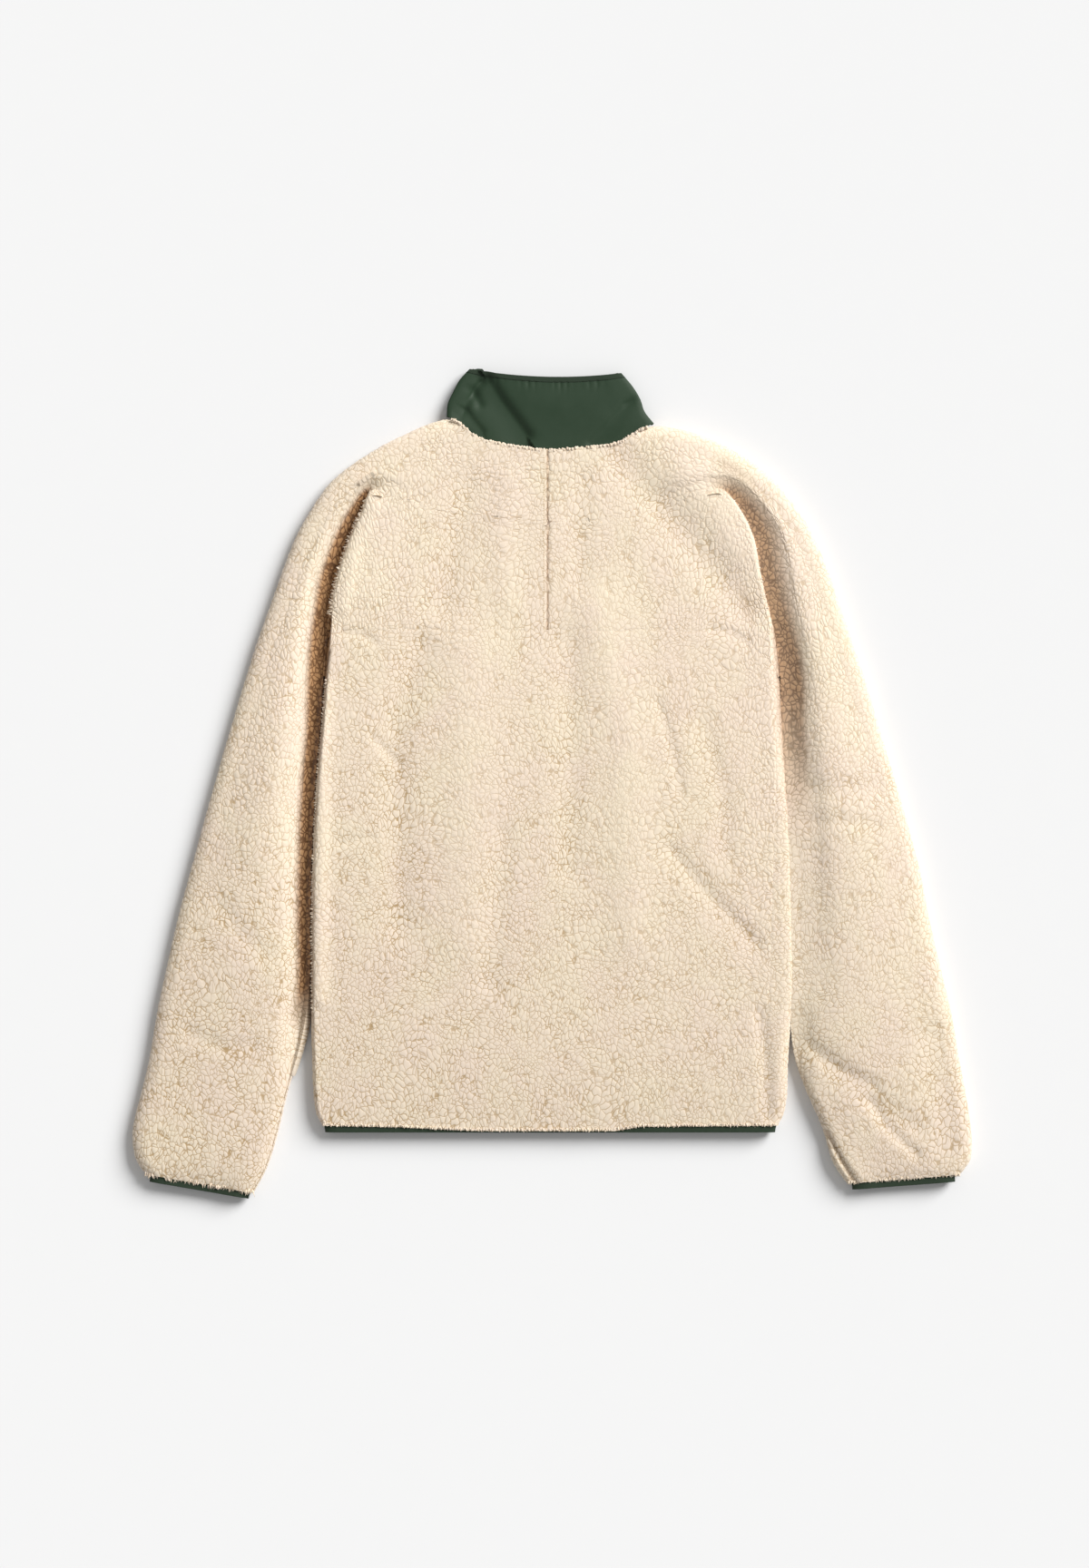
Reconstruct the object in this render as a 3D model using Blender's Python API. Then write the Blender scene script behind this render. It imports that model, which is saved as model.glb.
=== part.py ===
"""A deep-pile fleece jacket, laid flat on its front, modelled as its maker's cut pieces.

Lengths in the tables are millimetres on the floor plan: +X is the wearer's right, +Y runs
from the hem to the collar, +Z is up, and the jacket's front rests on Z = 0.
"""

import math
from collections import namedtuple

import bmesh
import bpy
from mathutils import Vector

MM = 0.001

# ---------------------------------------------------------------- driving sizes, millimetres
PLAN_SHIFT = (0.55, 2.716)      # moves the plan so that its box is centred on the origin
FLEECE_WALL = 7.0              # backing and pile, lightly pressed
BODY_TOP = 18.0                # top of the back where the jacket lies flattest
HEM_TOP = 15.5                 # the same at the hem
EDGE_HEIGHT = 9.0              # height of the outermost line of a rolled edge
EDGE_REACH = 14.0              # how far in from that line the top of the roll comes
UNDER_REACH = 9.5              # the same on the underside
CREASE_REACH = 14.0            # half width of the crease between body and sleeve
SEAM_GAP = 0.5
HEM_Y = -341.5
HEM_BINDING_END = -348.3
BINDING_WALL = 3.6
BINDING_INSET = 1.6            # the pile stands this far above the bindings
CUFF_BINDING_LENGTH = 6.0
UNDERARM_Y = 104.0
ZIP_HALF_GAP = 8.3             # fleece edge to the zip's middle
FRONT_NECK_Y = 300.0
COLLAR_WALL = 2.2
COLLAR_BINDING_WALL = 3.0
COLLAR_FOLD_REACH = 6.0
SIDE_SEAM_INSET = 25.0         # how far the right front comes round to the back at the hem

# Sleeve with its half of the yoke, one row for each section across it, from the centre-back
# seam (row 0) past the underarm (row 12) to the cuff (row 24).  outer: neck seam, then the
# shoulder and sleeve edge.  crease: the fold beside the body, then the sleeve's inner edge.
# inner: the yoke seam.  under: the front seam.  floor: height of the crease's bottom.
# crest: how much the sleeve stands above the flat body.
Section = namedtuple("Section", "outer_x outer_y crease_x crease_y inner_x inner_y "
                                "under_x under_y floor crest")
UNDERARM_ROW = 12
NECK_ROW = 3
LEFT_SLEEVE = [Section(*row) for row in (
    (-5.3, 331.0, -5.3, 262, -5.3, 151.8, -60, 300, 18.0, 0.0),
    (-41, 335.6, -50, 265, -48, 151.6, -60, 310, 18.0, 0.0),
    (-76, 344.5, -92, 268, -86, 151.8, -70, 330, 18.0, 0.0),
    (-104, 362.0, -130, 277, -115, 152.0, -96, 350, 18.0, 0.5),
    (-150, 345.5, -160, 287, -138, 152.2, -112, 334, 17.5, 1.5),
    (-190, 323.5, -181, 291, -158, 152.4, -124, 315, 15.5, 3.0),
    (-222, 298.0, -190, 273, -175, 152.6, -137, 291, 13.5, 4.5),
    (-244, 266.5, -200, 251, -189, 152.6, -150, 265, 13.0, 5.0),
    (-259, 237.0, -209, 228, -200, 152.0, -164, 238, 13.0, 5.0),
    (-271, 206.0, -216, 205, -209, 150.0, -179, 208, 13.0, 4.5),
    (-283, 172.0, -221.5, 178, -216, 144.0, -195, 176, 13.0, 4.0),
    (-295, 138.0, -225.5, 148, -222, 131.0, -212, 142, 12.0, 4.0),
    (-306, 103.0, -229.5, 106, -229.5, 106.0, -229.5, 106, 9.0, 4.0),
    (-319, 60.0, -233, 60, -233, 60, -233, 60, 9.0, 4.0),
    (-333, 12.0, -237.5, 12, -237.5, 12, -237.5, 12, 9.0, 4.0),
    (-347, -38.0, -240.5, -40, -240.5, -40, -240.5, -40, 9.0, 4.0),
    (-360, -86.0, -242.5, -90, -242.5, -90, -242.5, -90, 9.0, 3.5),
    (-373, -134.0, -243.5, -140, -243.5, -140, -243.5, -140, 9.0, 3.0),
    (-384, -182.0, -243.5, -192, -243.5, -192, -243.5, -192, 9.0, 3.0),
    (-393.5, -226.0, -245.5, -238, -245.5, -238, -245.5, -238, 9.0, 2.5),
    (-401, -272.0, -253.5, -273, -253.5, -273, -253.5, -273, 9.0, 2.0),
    (-410, -310.0, -264.5, -310, -264.5, -310, -264.5, -310, 9.0, 1.5),
    (-418.3, -346.0, -273, -346, -273, -346, -273, -346, 9.0, 1.0),
    (-415.5, -374.0, -284, -382, -284, -382, -284, -382, 9.0, 0.0),
    (-405, -390.0, -298, -408.5, -298, -408.5, -298, -408.5, 9.0, -1.5),
)]
RIGHT_SLEEVE = [Section(*row) for row in (
    (-4.8, 331.0, -4.8, 262, -4.8, 151.8, 60, 300, 18.0, 0.0),
    (28, 333.3, 34, 262, 34, 151.6, 60, 310, 18.0, 0.0),
    (64, 338.5, 76, 268, 76, 151.6, 70, 330, 18.0, 0.0),
    (99, 355.0, 116, 277, 108, 151.6, 92, 344, 18.0, 1.0),
    (146, 346.5, 146, 289, 132, 151.6, 108, 330, 17.5, 3.0),
    (190, 325.0, 172, 293, 150, 151.6, 122, 312, 15.5, 4.5),
    (222, 299.5, 187, 281, 166, 151.5, 136, 289, 14.0, 5.5),
    (245, 271.0, 202, 260, 180, 150.5, 150, 263, 13.5, 6.0),
    (261, 243.0, 210, 240, 190, 145.5, 164, 236, 13.5, 6.0),
    (275, 210.0, 216.5, 214, 199, 136.0, 179, 206, 13.5, 5.5),
    (287, 175.0, 222, 185, 208, 127.5, 195, 174, 13.0, 5.0),
    (299, 140.0, 226.5, 152, 218, 118.5, 212, 141, 12.0, 4.5),
    (311, 104.0, 228.5, 106, 228.5, 106.0, 228.5, 106, 9.0, 4.5),
    (324, 60.0, 231, 60, 231, 60, 231, 60, 9.0, 4.5),
    (338, 13.0, 234, 12, 234, 12, 234, 12, 9.0, 4.0),
    (353, -38.0, 236.7, -40, 236.7, -40, 236.7, -40, 9.0, 4.0),
    (366, -88.0, 238.7, -90, 238.7, -90, 238.7, -90, 9.0, 4.0),
    (375.5, -137.0, 240, -140, 240, -140, 240, -140, 9.0, 3.5),
    (387, -186.0, 241, -192, 241, -192, 241, -192, 9.0, 3.0),
    (398, -233.0, 240.5, -238, 240.5, -238, 240.5, -238, 9.0, 3.0),
    (404.5, -272.0, 241.5, -275, 241.5, -275, 241.5, -275, 9.0, 2.5),
    (411.5, -310.0, 254, -310, 254, -310, 254, -310, 9.0, 2.0),
    (417.2, -350.0, 269.5, -346, 269.5, -346, 269.5, -346, 9.0, 1.5),
    (415.8, -376.0, 279, -378, 279, -378, 279, -378, 9.0, 0.0),
    (405, -390.5, 293.5, -399, 293.5, -399, 293.5, -399, 9.0, -1.5),
)]
SECTION_STEPS = [0, 0.5, 1, 1.5, 2, 2.5, 3, 3.5, 4, 5, 6, 7, 8, 9, 10, 11, 12, 13, 14, 15,
                 16, 17, 18, 19, 20, 21, 22, 23, 23.6, 24]

# The body's side edges, a row for each height up the jacket.
BodyEdge = namedtuple("BodyEdge", "y left right")
BODY_EDGES = [BodyEdge(*row) for row in (
    (160, -220, 221), (110, -226, 225.5), (60, -230, 228), (12, -234.5, 231),
    (-40, -237.6, 233.8), (-90, -239.7, 235.7), (-140, -240.5, 237), (-192, -240.5, 238),
    (-240, -240.5, 236.5), (-280, -239.5, 234.5), (-312, -238, 233.5), (-330, -235, 230),
    (-341.5, -229.5, 224.5), (-350, -228, 223),
)]
BODY_STEPS = [0, 0.035, 0.09, 0.16, 0.23, 0.30, 0.37, 0.44, 0.51, 0.58, 0.65, 0.72, 0.79,
              0.86, 0.92, 0.965, 1.0]

# Broad folds of the upper cloth: a ridge or trough along three points, with its lift.
Fold = namedtuple("Fold", "x0 y0 x1 y1 x2 y2 lift half_width")
FOLDS = [Fold(*row) for row in (
    (16, 138, 18, 60, 17, -85, -3.2, 15),          # trough below the centre-back seam
    (-132, 134, -156, 60, -152, -140, -3.0, 16),   # trough down the left of the back
    (-86, 130, -84, 0, -92, -150, 2.6, 30),        # broad ridge left of the middle
    (42, 175, 74, 40, 76, -150, 3.0, 24),          # broad ridge right of the middle
    (70, 318, 128, 250, 190, 175, -3.0, 16),       # valley from the collar to the right arm
    (-86, 292, -100, 230, -110, 178, -2.0, 15),    # shallow valley on the left of the yoke
    (135, 300, 170, 262, 192, 228, 3.0, 20),       # raised cloth before the right crease
    (-150, 290, -172, 240, -190, 190, 1.5, 18),    # raised cloth before the left crease
    (120, -70, 160, -120, 200, -165, -1.6, 12),    # slanting pull towards the right side
    (255, -262, 300, -300, 362, -345, -2.0, 12),   # pull across the right cuff
    (380, -255, 390, -310, 394, -360, -2.0, 16),   # hollow along the right cuff's outer edge
    (240, -8, 285, -7, 330, -6, -1.8, 12),         # bend across the right sleeve
    (-250, 40, -275, 0, -300, -60, 1.2, 22),       # fullness of the left sleeve
)]

# The collar, a row for each height between its neck seam and its top edge.
CollarRow = namedtuple("CollarRow", "left_x left_y right_x right_y back_y front_y top floor")
COLLAR = [CollarRow(*row) for row in (
    (-105.5, 364.0, 100.5, 357.2, 331.7, FRONT_NECK_Y + 0.8, 13.4, 3.2),
    (-104.5, 377.0, 91.5, 369.0, 350.0, 318.0, 12.8, 3.0),
    (-99.0, 389.5, 87.2, 381.5, 368.0, 336.0, 12.0, 2.8),
    (-92.0, 400.5, 80.5, 393.0, 387.0, 354.0, 11.5, 2.8),
    (-84.0, 409.2, 70.5, 405.0, 404.8, 372.0, 11.0, 2.8),
)]
COLLAR_BINDING_START = 3.62    # rows up the collar; its last stretch is the turned edge
COLLAR_FOLDS = [Fold(*row) for row in (
    (-64, 402, -44, 372, -22, 340, -1.5, 9),       # slanting trough on the left
    (-95, 362, -84, 382, -72, 398, -1.2, 5),       # crease by the left fold
    (80, 380, 66, 366, 50, 355, -1.2, 8),          # soft trough by the right fold
    (-20, 380, 10, 376, 40, 372, 0.8, 18),         # fullness of the middle
)]

# Zip, in the front opening on the underside.
TAPE_WIDTH = 4.7
TAPE_Z = (4.5, 5.5)
CHAIN_HALF_WIDTH = 2.7
CHAIN_Z = (3.9, 6.3)
ZIP_FOOT_Y = -346.5
ZIP_HEAD_Y = 370.0
BOX_LENGTH = 8.0
SLIDER_FOOT_Y = 351.0
SLIDER_LENGTH = 11.5
SLIDER_HALF_WIDTH = 4.3
SLIDER_PLATE = 0.8
SLIDER_Z = (2.8, 7.4)          # outer faces of its two plates
POST_LENGTH = 3.0
TAB_LENGTH = 24.0
TAB_HALF_WIDTH = 2.6
TAB_THICKNESS = 1.1
TAB_PIN_Z = 1.45
TAB_PIN_Y = 355.5
TAB_PIN_RADIUS = 0.55
TAB_EYE_RADIUS = 1.15
TAB_CLEARANCE = 0.12

CREAM = (0.80, 0.68, 0.51, 1.0)
GREEN = (0.035, 0.065, 0.038, 1.0)
ZIP_GREEN = (0.030, 0.055, 0.033, 1.0)
DARK_METAL = (0.07, 0.07, 0.065, 1.0)


# ---------------------------------------------------------------- curves and sections
def along(rows, t):
    """The smooth curve through a table's rows at t, counted in rows, column by column."""
    i = max(0, min(int(t), len(rows) - 2))
    f = t - i
    before = rows[max(i - 1, 0)]
    after = rows[min(i + 2, len(rows) - 1)]
    values = [0.5 * (2 * b + (c - a) * f + (2 * a - 5 * b + 4 * c - d) * f * f
                     + (3 * b - a - 3 * c + d) * f ** 3)
              for a, b, c, d in zip(before, rows[i], rows[i + 1], after)]
    return type(rows[0])(*values)


def side_edges(y):
    """The body's left and right edge at a height up the jacket."""
    for i in range(len(BODY_EDGES) - 1):
        upper, lower = BODY_EDGES[i], BODY_EDGES[i + 1]
        if y >= lower.y or i == len(BODY_EDGES) - 2:
            row = along(BODY_EDGES, i + (upper.y - y) / (upper.y - lower.y))
            return row.left, row.right


def side_seam_inset(y):
    """Distance of the right side seam from the body's right edge."""
    share = min(1.0, max(0.0, (UNDERARM_Y - y) / (UNDERARM_Y - HEM_Y)))
    return 1.5 + (SIDE_SEAM_INSET - 1.5) * math.sin(share * math.pi / 2)


def fold_lift(folds, x, y):
    """Height that the ridges and troughs add at a point of the plan."""
    total = 0.0
    for fold in folds:
        ends = ((fold.x0, fold.y0, fold.x1, fold.y1), (fold.x1, fold.y1, fold.x2, fold.y2))
        nearest = min(distance_to_line(x, y, *end) for end in ends)
        total += fold.lift * math.exp(-(nearest / fold.half_width) ** 2)
    return total


def distance_to_line(x, y, x0, y0, x1, y1):
    length_squared = (x1 - x0) ** 2 + (y1 - y0) ** 2
    share = ((x - x0) * (x1 - x0) + (y - y0) * (y1 - y0)) / length_squared
    share = max(0.0, min(1.0, share))
    return math.hypot(x - x0 - share * (x1 - x0), y - y0 - share * (y1 - y0))


def back_top(x, y):
    """Height of the upper cloth over a point of the plan, away from its edges."""
    near_hem = math.exp(-max(0.0, y - HEM_Y) / 22.0) if y < 0 and abs(x) < 245 else 0.0
    return BODY_TOP + fold_lift(FOLDS, x, y) - (BODY_TOP - HEM_TOP) * near_hem


def rolled(edge, inward, reach, far_z, turn, wall, edge_z=EDGE_HEIGHT):
    """Outer and inner point of a rolled edge; turn runs from 0 at the edge to 1 at the flat."""
    angle = turn * math.pi / 2
    rise = far_z - edge_z
    inner_rise = rise - math.copysign(wall, rise)
    outer = edge + inward * (reach * (1 - math.cos(angle)))
    inner = edge + inward * (wall + (reach - wall) * (1 - math.cos(angle)))
    return (Vector((outer.x, outer.y, edge_z + rise * math.sin(angle))),
            Vector((inner.x, inner.y, edge_z + inner_rise * math.sin(angle))))


def turn_at(distance, reach):
    """How far round its roll a point stands that is this far in from the edge."""
    return math.acos(max(0.0, 1 - distance / reach)) / (math.pi / 2)


def flat_top(x, y, z, wall):
    return Vector((x, y, z)), Vector((x, y, z - wall))


def flat_under(x, y, wall, z=0.0):
    return Vector((x, y, z)), Vector((x, y, z + wall))


def shares(count):
    return [i / count for i in range(count + 1)]


# ---------------------------------------------------------------- walls and objects
def make_wall(name, sections, material, ring_from=None, joint=0):
    """A closed cloth wall through sections, each a list of (outer, inner) points or None.

    From section ring_from on, the columns from joint to the last close into a ring, and in
    that section the columns before joint meet in one point.
    """
    mesh = bmesh.new()
    inner_of = {}
    grid = []
    for i, section in enumerate(sections):
        line = []
        for pair in section:
            vert = None
            if pair is not None:
                vert = mesh.verts.new(pair[0])
                inner_of[vert] = mesh.verts.new(pair[1])
            line.append(vert)
        if i == ring_from:
            line[:joint] = [line[joint]] * joint
        grid.append(line)
    columns = len(grid[0])
    for i in range(len(grid) - 1):
        ring = ring_from is not None and i >= ring_from
        following = [(j, j + 1) for j in range(joint if ring else 0, columns - 1)]
        if ring:
            following.append((columns - 1, joint))
        for j, k in following:
            corners = [grid[i][j], grid[i][k], grid[i + 1][k], grid[i + 1][j]]
            if None not in corners:
                mesh.faces.new(list(dict.fromkeys(corners)))
    rims = []
    for edge in mesh.edges:
        if edge.is_boundary:
            loop = edge.link_loops[0]
            rims.append((loop.vert, loop.link_loop_next.vert))
    for face in list(mesh.faces):
        mesh.faces.new([inner_of[v] for v in reversed(face.verts)])
    for a, b in rims:
        mesh.faces.new([b, a, inner_of[a], inner_of[b]])
    loose = [v for v in mesh.verts if not v.link_faces]
    bmesh.ops.delete(mesh, geom=loose, context="VERTS")
    bmesh.ops.recalc_face_normals(mesh, faces=mesh.faces)
    return finish(name, mesh, material)


def make_block(name, boxes, material):
    """A solid of boxes, each ((low x, y, z), (high x, y, z)), united into one body."""
    parts = []
    for number, (low, high) in enumerate(boxes):
        mesh = bmesh.new()
        bmesh.ops.create_cube(mesh, size=1.0)
        size = [b - a for a, b in zip(low, high)]
        middle = [(a + b) / 2 for a, b in zip(low, high)]
        bmesh.ops.scale(mesh, vec=size, verts=mesh.verts)
        bmesh.ops.translate(mesh, vec=middle, verts=mesh.verts)
        parts.append(finish(name if number == 0 else f"{name}_block_{number}", mesh, material))
    for part in parts[1:]:
        unite(parts[0], part, "UNION")
    return parts[0]


def finish(name, mesh, material):
    """Scale a mesh to metres, centre it on the plan and make its object."""
    bmesh.ops.translate(mesh, vec=(PLAN_SHIFT[0], PLAN_SHIFT[1], 0), verts=mesh.verts)
    bmesh.ops.scale(mesh, vec=(MM, MM, MM), verts=mesh.verts)
    data = bpy.data.meshes.new(name)
    mesh.to_mesh(data)
    mesh.free()
    data.shade_smooth()
    data.set_sharp_from_angle(angle=math.radians(50))
    data.materials.append(material)
    thing = bpy.data.objects.new(name, data)
    bpy.context.scene.collection.objects.link(thing)
    return thing


def unite(target, tool, operation):
    """Join a helper to an object, or cut it away, and keep the helper out of sight."""
    tool.hide_render = True
    tool.display_type = "WIRE"
    modifier = target.modifiers.new(tool.name, "BOOLEAN")
    modifier.operation = operation
    modifier.object = tool


def cloth(name, colour, roughness):
    material = bpy.data.materials.new(name)
    material.use_nodes = True
    shader = material.node_tree.nodes["Principled BSDF"]
    shader.inputs["Base Color"].default_value = colour
    shader.inputs["Roughness"].default_value = roughness
    return material


def metal(name, colour, roughness):
    material = cloth(name, colour, roughness)
    material.node_tree.nodes["Principled BSDF"].inputs["Metallic"].default_value = 1.0
    return material


# ---------------------------------------------------------------- sleeve with half yoke
YOKE_SHARES = [0, 0.22, 0.44, 0.65, 0.84, 1.0]      # yoke seam to the crease's upper lip
CREASE_TURNS = [0.62, 0.3]                          # lip to bottom, as shares of the turn
SLEEVE_SHARES = [0.2, 0.42, 0.64, 0.84, 1.0]        # crease's lip to the outer roll
ROLL_TURNS = [0.66, 0.33, 0.0]
LOWER_TURNS = [0.5, 1.0]
UNDER_SHARES = [0.5, 1.0]


def inward_normal(rows, t, across):
    """Unit vector in plan, square to the outer edge and pointing into the sleeve."""
    ahead, behind = along(rows, min(t + 0.3, len(rows) - 1)), along(rows, max(t - 0.3, 0))
    run = Vector((ahead.outer_x - behind.outer_x, ahead.outer_y - behind.outer_y))
    normal = Vector((-run.y, run.x)).normalized()
    return normal if normal.dot(across) > 0 else -normal


def sleeve_section(rows, t, wall=FLEECE_WALL, inset=0.0):
    """One section of the sleeve, round from the yoke seam to the crease, the outer edge,
    the underside and, past the underarm, back up to the sleeve's inner edge."""
    row = along(rows, t)
    outer = Vector((row.outer_x, row.outer_y))
    crease = Vector((row.crease_x, row.crease_y))
    inner = Vector((row.inner_x, row.inner_y))
    under = Vector((row.under_x, row.under_y))
    ring = t >= UNDERARM_ROW
    rolls = t >= NECK_ROW
    normal = inward_normal(rows, t, crease - outer)
    if inset:
        across = (crease - outer).normalized()
        outer = outer + across * inset
        crease = crease - across * inset
    points = []

    # Yoke, from its seam to the crease
    if ring:
        points += [None] * (len(YOKE_SHARES) + len(CREASE_TURNS))
    else:
        reach = min(CREASE_REACH, 0.7 * (inner - crease).length)
        lip = crease + (inner - crease).normalized() * reach
        for share in YOKE_SHARES:
            spot = inner.lerp(lip, share)
            points.append(flat_top(spot.x, spot.y, back_top(spot.x, spot.y), wall))
        for turn in CREASE_TURNS:
            points.append(crease_point(crease, lip, turn, row.floor, wall))

    # Crease bottom, or the sleeve's inner edge
    start = outer + normal * EDGE_REACH
    away = (start - crease).normalized()
    reach = min(CREASE_REACH, 0.4 * (start - crease).length)
    lip = crease + away * reach
    if ring:
        top = back_top(lip.x, lip.y) - inset
        points.append(rolled(crease, away, reach, top, 0.0, wall))
        for turn in reversed(CREASE_TURNS):
            points.append(rolled(crease, away, reach, top, turn, wall))
        points.append(rolled(crease, away, reach, top, 1.0, wall))
    else:
        points.append(crease_point(crease, lip, 0.0, row.floor, wall))
        for turn in reversed(CREASE_TURNS):
            points.append(crease_point(crease, lip, turn, row.floor, wall))
        points.append(flat_top(lip.x, lip.y, back_top(lip.x, lip.y), wall))

    # Top of the sleeve
    for share in SLEEVE_SHARES:
        spot = lip.lerp(start, share)
        crest = row.crest * math.sin(math.pi * share) ** 0.8 if share < 1 else 0.0
        points.append(flat_top(spot.x, spot.y, back_top(spot.x, spot.y) + crest - inset, wall))

    # Outer edge
    top = back_top(start.x, start.y) - inset
    for turn in ROLL_TURNS:
        if rolls:
            points.append(rolled(outer, normal, EDGE_REACH, top, turn, wall))
        else:
            spot = outer + normal * (EDGE_REACH * (1 - math.cos(turn * math.pi / 2)))
            points.append(flat_top(spot.x, spot.y, top, wall))

    # Underside
    if not rolls:
        return points + [None] * (len(LOWER_TURNS) * 2 - 1 + len(UNDER_SHARES))
    for turn in LOWER_TURNS:
        points.append(rolled(outer, normal, UNDER_REACH, inset, turn, wall))
    landing = outer + normal * UNDER_REACH
    target = crease + away * UNDER_REACH if ring else under
    for share in UNDER_SHARES:
        spot = landing.lerp(target, share)
        points.append(flat_under(spot.x, spot.y, wall, inset))
    for turn in reversed(LOWER_TURNS[:-1]):
        points.append(rolled(crease, away, UNDER_REACH, inset, turn, wall) if ring else None)
    return points


def crease_point(bottom, lip, turn, floor, wall):
    """A point on one side of the crease; the cloth is pressed thinner towards its bottom."""
    lip_top = back_top(lip.x, lip.y)
    floor = min(floor, lip_top)
    angle = turn * math.pi / 2
    spot = bottom.lerp(lip, 1 - math.cos(angle))
    z = floor + (lip_top - floor) * math.sin(angle)
    under_z = 8.4 + (lip_top - wall - 8.4) * (1 - math.cos(angle))
    return Vector((spot.x, spot.y, z)), Vector((spot.x, spot.y, min(under_z, z - 4.0)))


def make_sleeve(name, rows, material):
    sections = [sleeve_section(rows, t) for t in SECTION_STEPS]
    joint = len(YOKE_SHARES) + len(CREASE_TURNS)
    return make_wall(name, sections, material, SECTION_STEPS.index(UNDERARM_ROW), joint)


# ---------------------------------------------------------------- back and fronts
def yoke_seam():
    """Points of the yoke seam from left to right, shared by the back and both sleeves."""
    steps = [t for t in SECTION_STEPS if 0 < t < UNDERARM_ROW]
    left = [along(LEFT_SLEEVE, t) for t in reversed(steps)]
    right = [along(RIGHT_SLEEVE, t) for t in steps]
    middle = [((LEFT_SLEEVE[0].inner_x + RIGHT_SLEEVE[0].inner_x) / 2, LEFT_SLEEVE[0].inner_y)]
    points = [(row.inner_x, row.inner_y) for row in left] + middle
    return points + [(row.inner_x, row.inner_y) for row in right]


def body_point(x, y, left, right):
    """A point of the upper cloth of the body, rolled down near its side edges."""
    if x - left < EDGE_REACH:
        top = back_top(left + EDGE_REACH, y)
        turn = turn_at(x - left, EDGE_REACH)
        return rolled(Vector((left, y)), Vector((1, 0)), EDGE_REACH, top, turn, FLEECE_WALL)
    if right - x < EDGE_REACH:
        top = back_top(right - EDGE_REACH, y)
        turn = turn_at(right - x, EDGE_REACH)
        return rolled(Vector((right, y)), Vector((-1, 0)), EDGE_REACH, top, turn, FLEECE_WALL)
    return flat_top(x, y, back_top(x, y), FLEECE_WALL)


def make_back(material):
    """The back, from the yoke seam to the hem; it wraps the left edge down to the floor."""
    columns = []
    for x, y in yoke_seam():
        left, right = side_edges(y)
        seam = right - side_seam_inset(y) - SEAM_GAP
        columns.append(((x - left) / (seam - left), y - SEAM_GAP))
    columns = [(0.0, UNDERARM_Y)] + columns + [(1.0, UNDERARM_Y - 3.0)]
    sections = []
    for step in BODY_STEPS:
        section = []
        y = UNDERARM_Y + (HEM_Y - UNDERARM_Y) * step
        edge = Vector((side_edges(y)[0], y))
        for turn in (1.0, 0.5):
            section.append(rolled(edge, Vector((1, 0)), UNDER_REACH, 0.0, turn, FLEECE_WALL))
        for share, top_y in columns:
            y = top_y + (HEM_Y - top_y) * step
            left, right = side_edges(y)
            seam = right - side_seam_inset(y) - SEAM_GAP
            section.append(body_point(left + (seam - left) * share, y, left, right))
        sections.append(section)
    return make_wall("back", sections, material)


FRONT_SHARES = [0, 0.2, 0.4, 0.6, 0.8, 1.0]
SEAM_SHARES = [0.3, 0.65, 1.0]


def front_row(zip_x, zip_y, side_x, side_y, bend):
    """Points from the zip to the side, curved as the neck is where bend is over 1."""
    points = []
    for share in FRONT_SHARES:
        x = zip_x + (side_x - zip_x) * share
        y = zip_y + (side_y - zip_y) * share ** bend
        points.append(flat_under(x, y, FLEECE_WALL))
    return points


def make_front(name, rows, side, material):
    """A front: up to the underarm beside the back, then along the sleeve's front seam."""
    sections = []
    wraps = side > 0
    extra = 2 + len(SEAM_SHARES) if wraps else 0
    for t in [t for t in SECTION_STEPS if NECK_ROW <= t < UNDERARM_ROW]:
        row = along(rows, t)
        rise = (UNDERARM_ROW - t) / (UNDERARM_ROW - NECK_ROW)
        zip_y = UNDERARM_Y + (FRONT_NECK_Y - UNDERARM_Y) * rise
        side_x = row.under_x - side * (SEAM_GAP + 0.1)
        sections.append(front_row(side * ZIP_HALF_GAP, zip_y, side_x, row.under_y, 1 + rise)
                        + [None] * extra)
    for step in BODY_STEPS:
        y = UNDERARM_Y + (HEM_Y - UNDERARM_Y) * step
        left, right = side_edges(y)
        if not wraps:
            side_x = left + UNDER_REACH + SEAM_GAP
            sections.append(front_row(-ZIP_HALF_GAP, y, side_x, y, 1))
            continue
        edge, inward = Vector((right, y)), Vector((-1, 0))
        section = front_row(ZIP_HALF_GAP, y, right - UNDER_REACH, y, 1)
        for turn in (0.5, 0.0):
            section.append(rolled(edge, inward, UNDER_REACH, 0.0, turn, FLEECE_WALL))
        for share in SEAM_SHARES:
            x = right - side_seam_inset(y) * share
            section.append(body_point(x, y, left, right))
        sections.append(section)
    return make_wall(name, sections, material)


# ---------------------------------------------------------------- collar and bindings
def neck_seam():
    """Points of the neck seam across the back, shared by the collar and both sleeves."""
    steps = [t for t in SECTION_STEPS if 0 < t <= NECK_ROW]
    left = [along(LEFT_SLEEVE, t) for t in reversed(steps)]
    right = [along(RIGHT_SLEEVE, t) for t in steps]
    middle = ((LEFT_SLEEVE[0].outer_x + RIGHT_SLEEVE[0].outer_x) / 2, LEFT_SLEEVE[0].outer_y)
    return [(r.outer_x, r.outer_y) for r in left] + [middle] + [(r.outer_x, r.outer_y)
                                                                for r in right]


def sagging(row, share):
    """Height up the plan of the collar's upper layer, from its left fold to its right."""
    ends = row.left_y + (row.right_y - row.left_y) * share
    sag = (row.left_y + row.right_y) / 2 - row.back_y
    return ends - sag * (1 - (2 * share - 1) ** 2)


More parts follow.
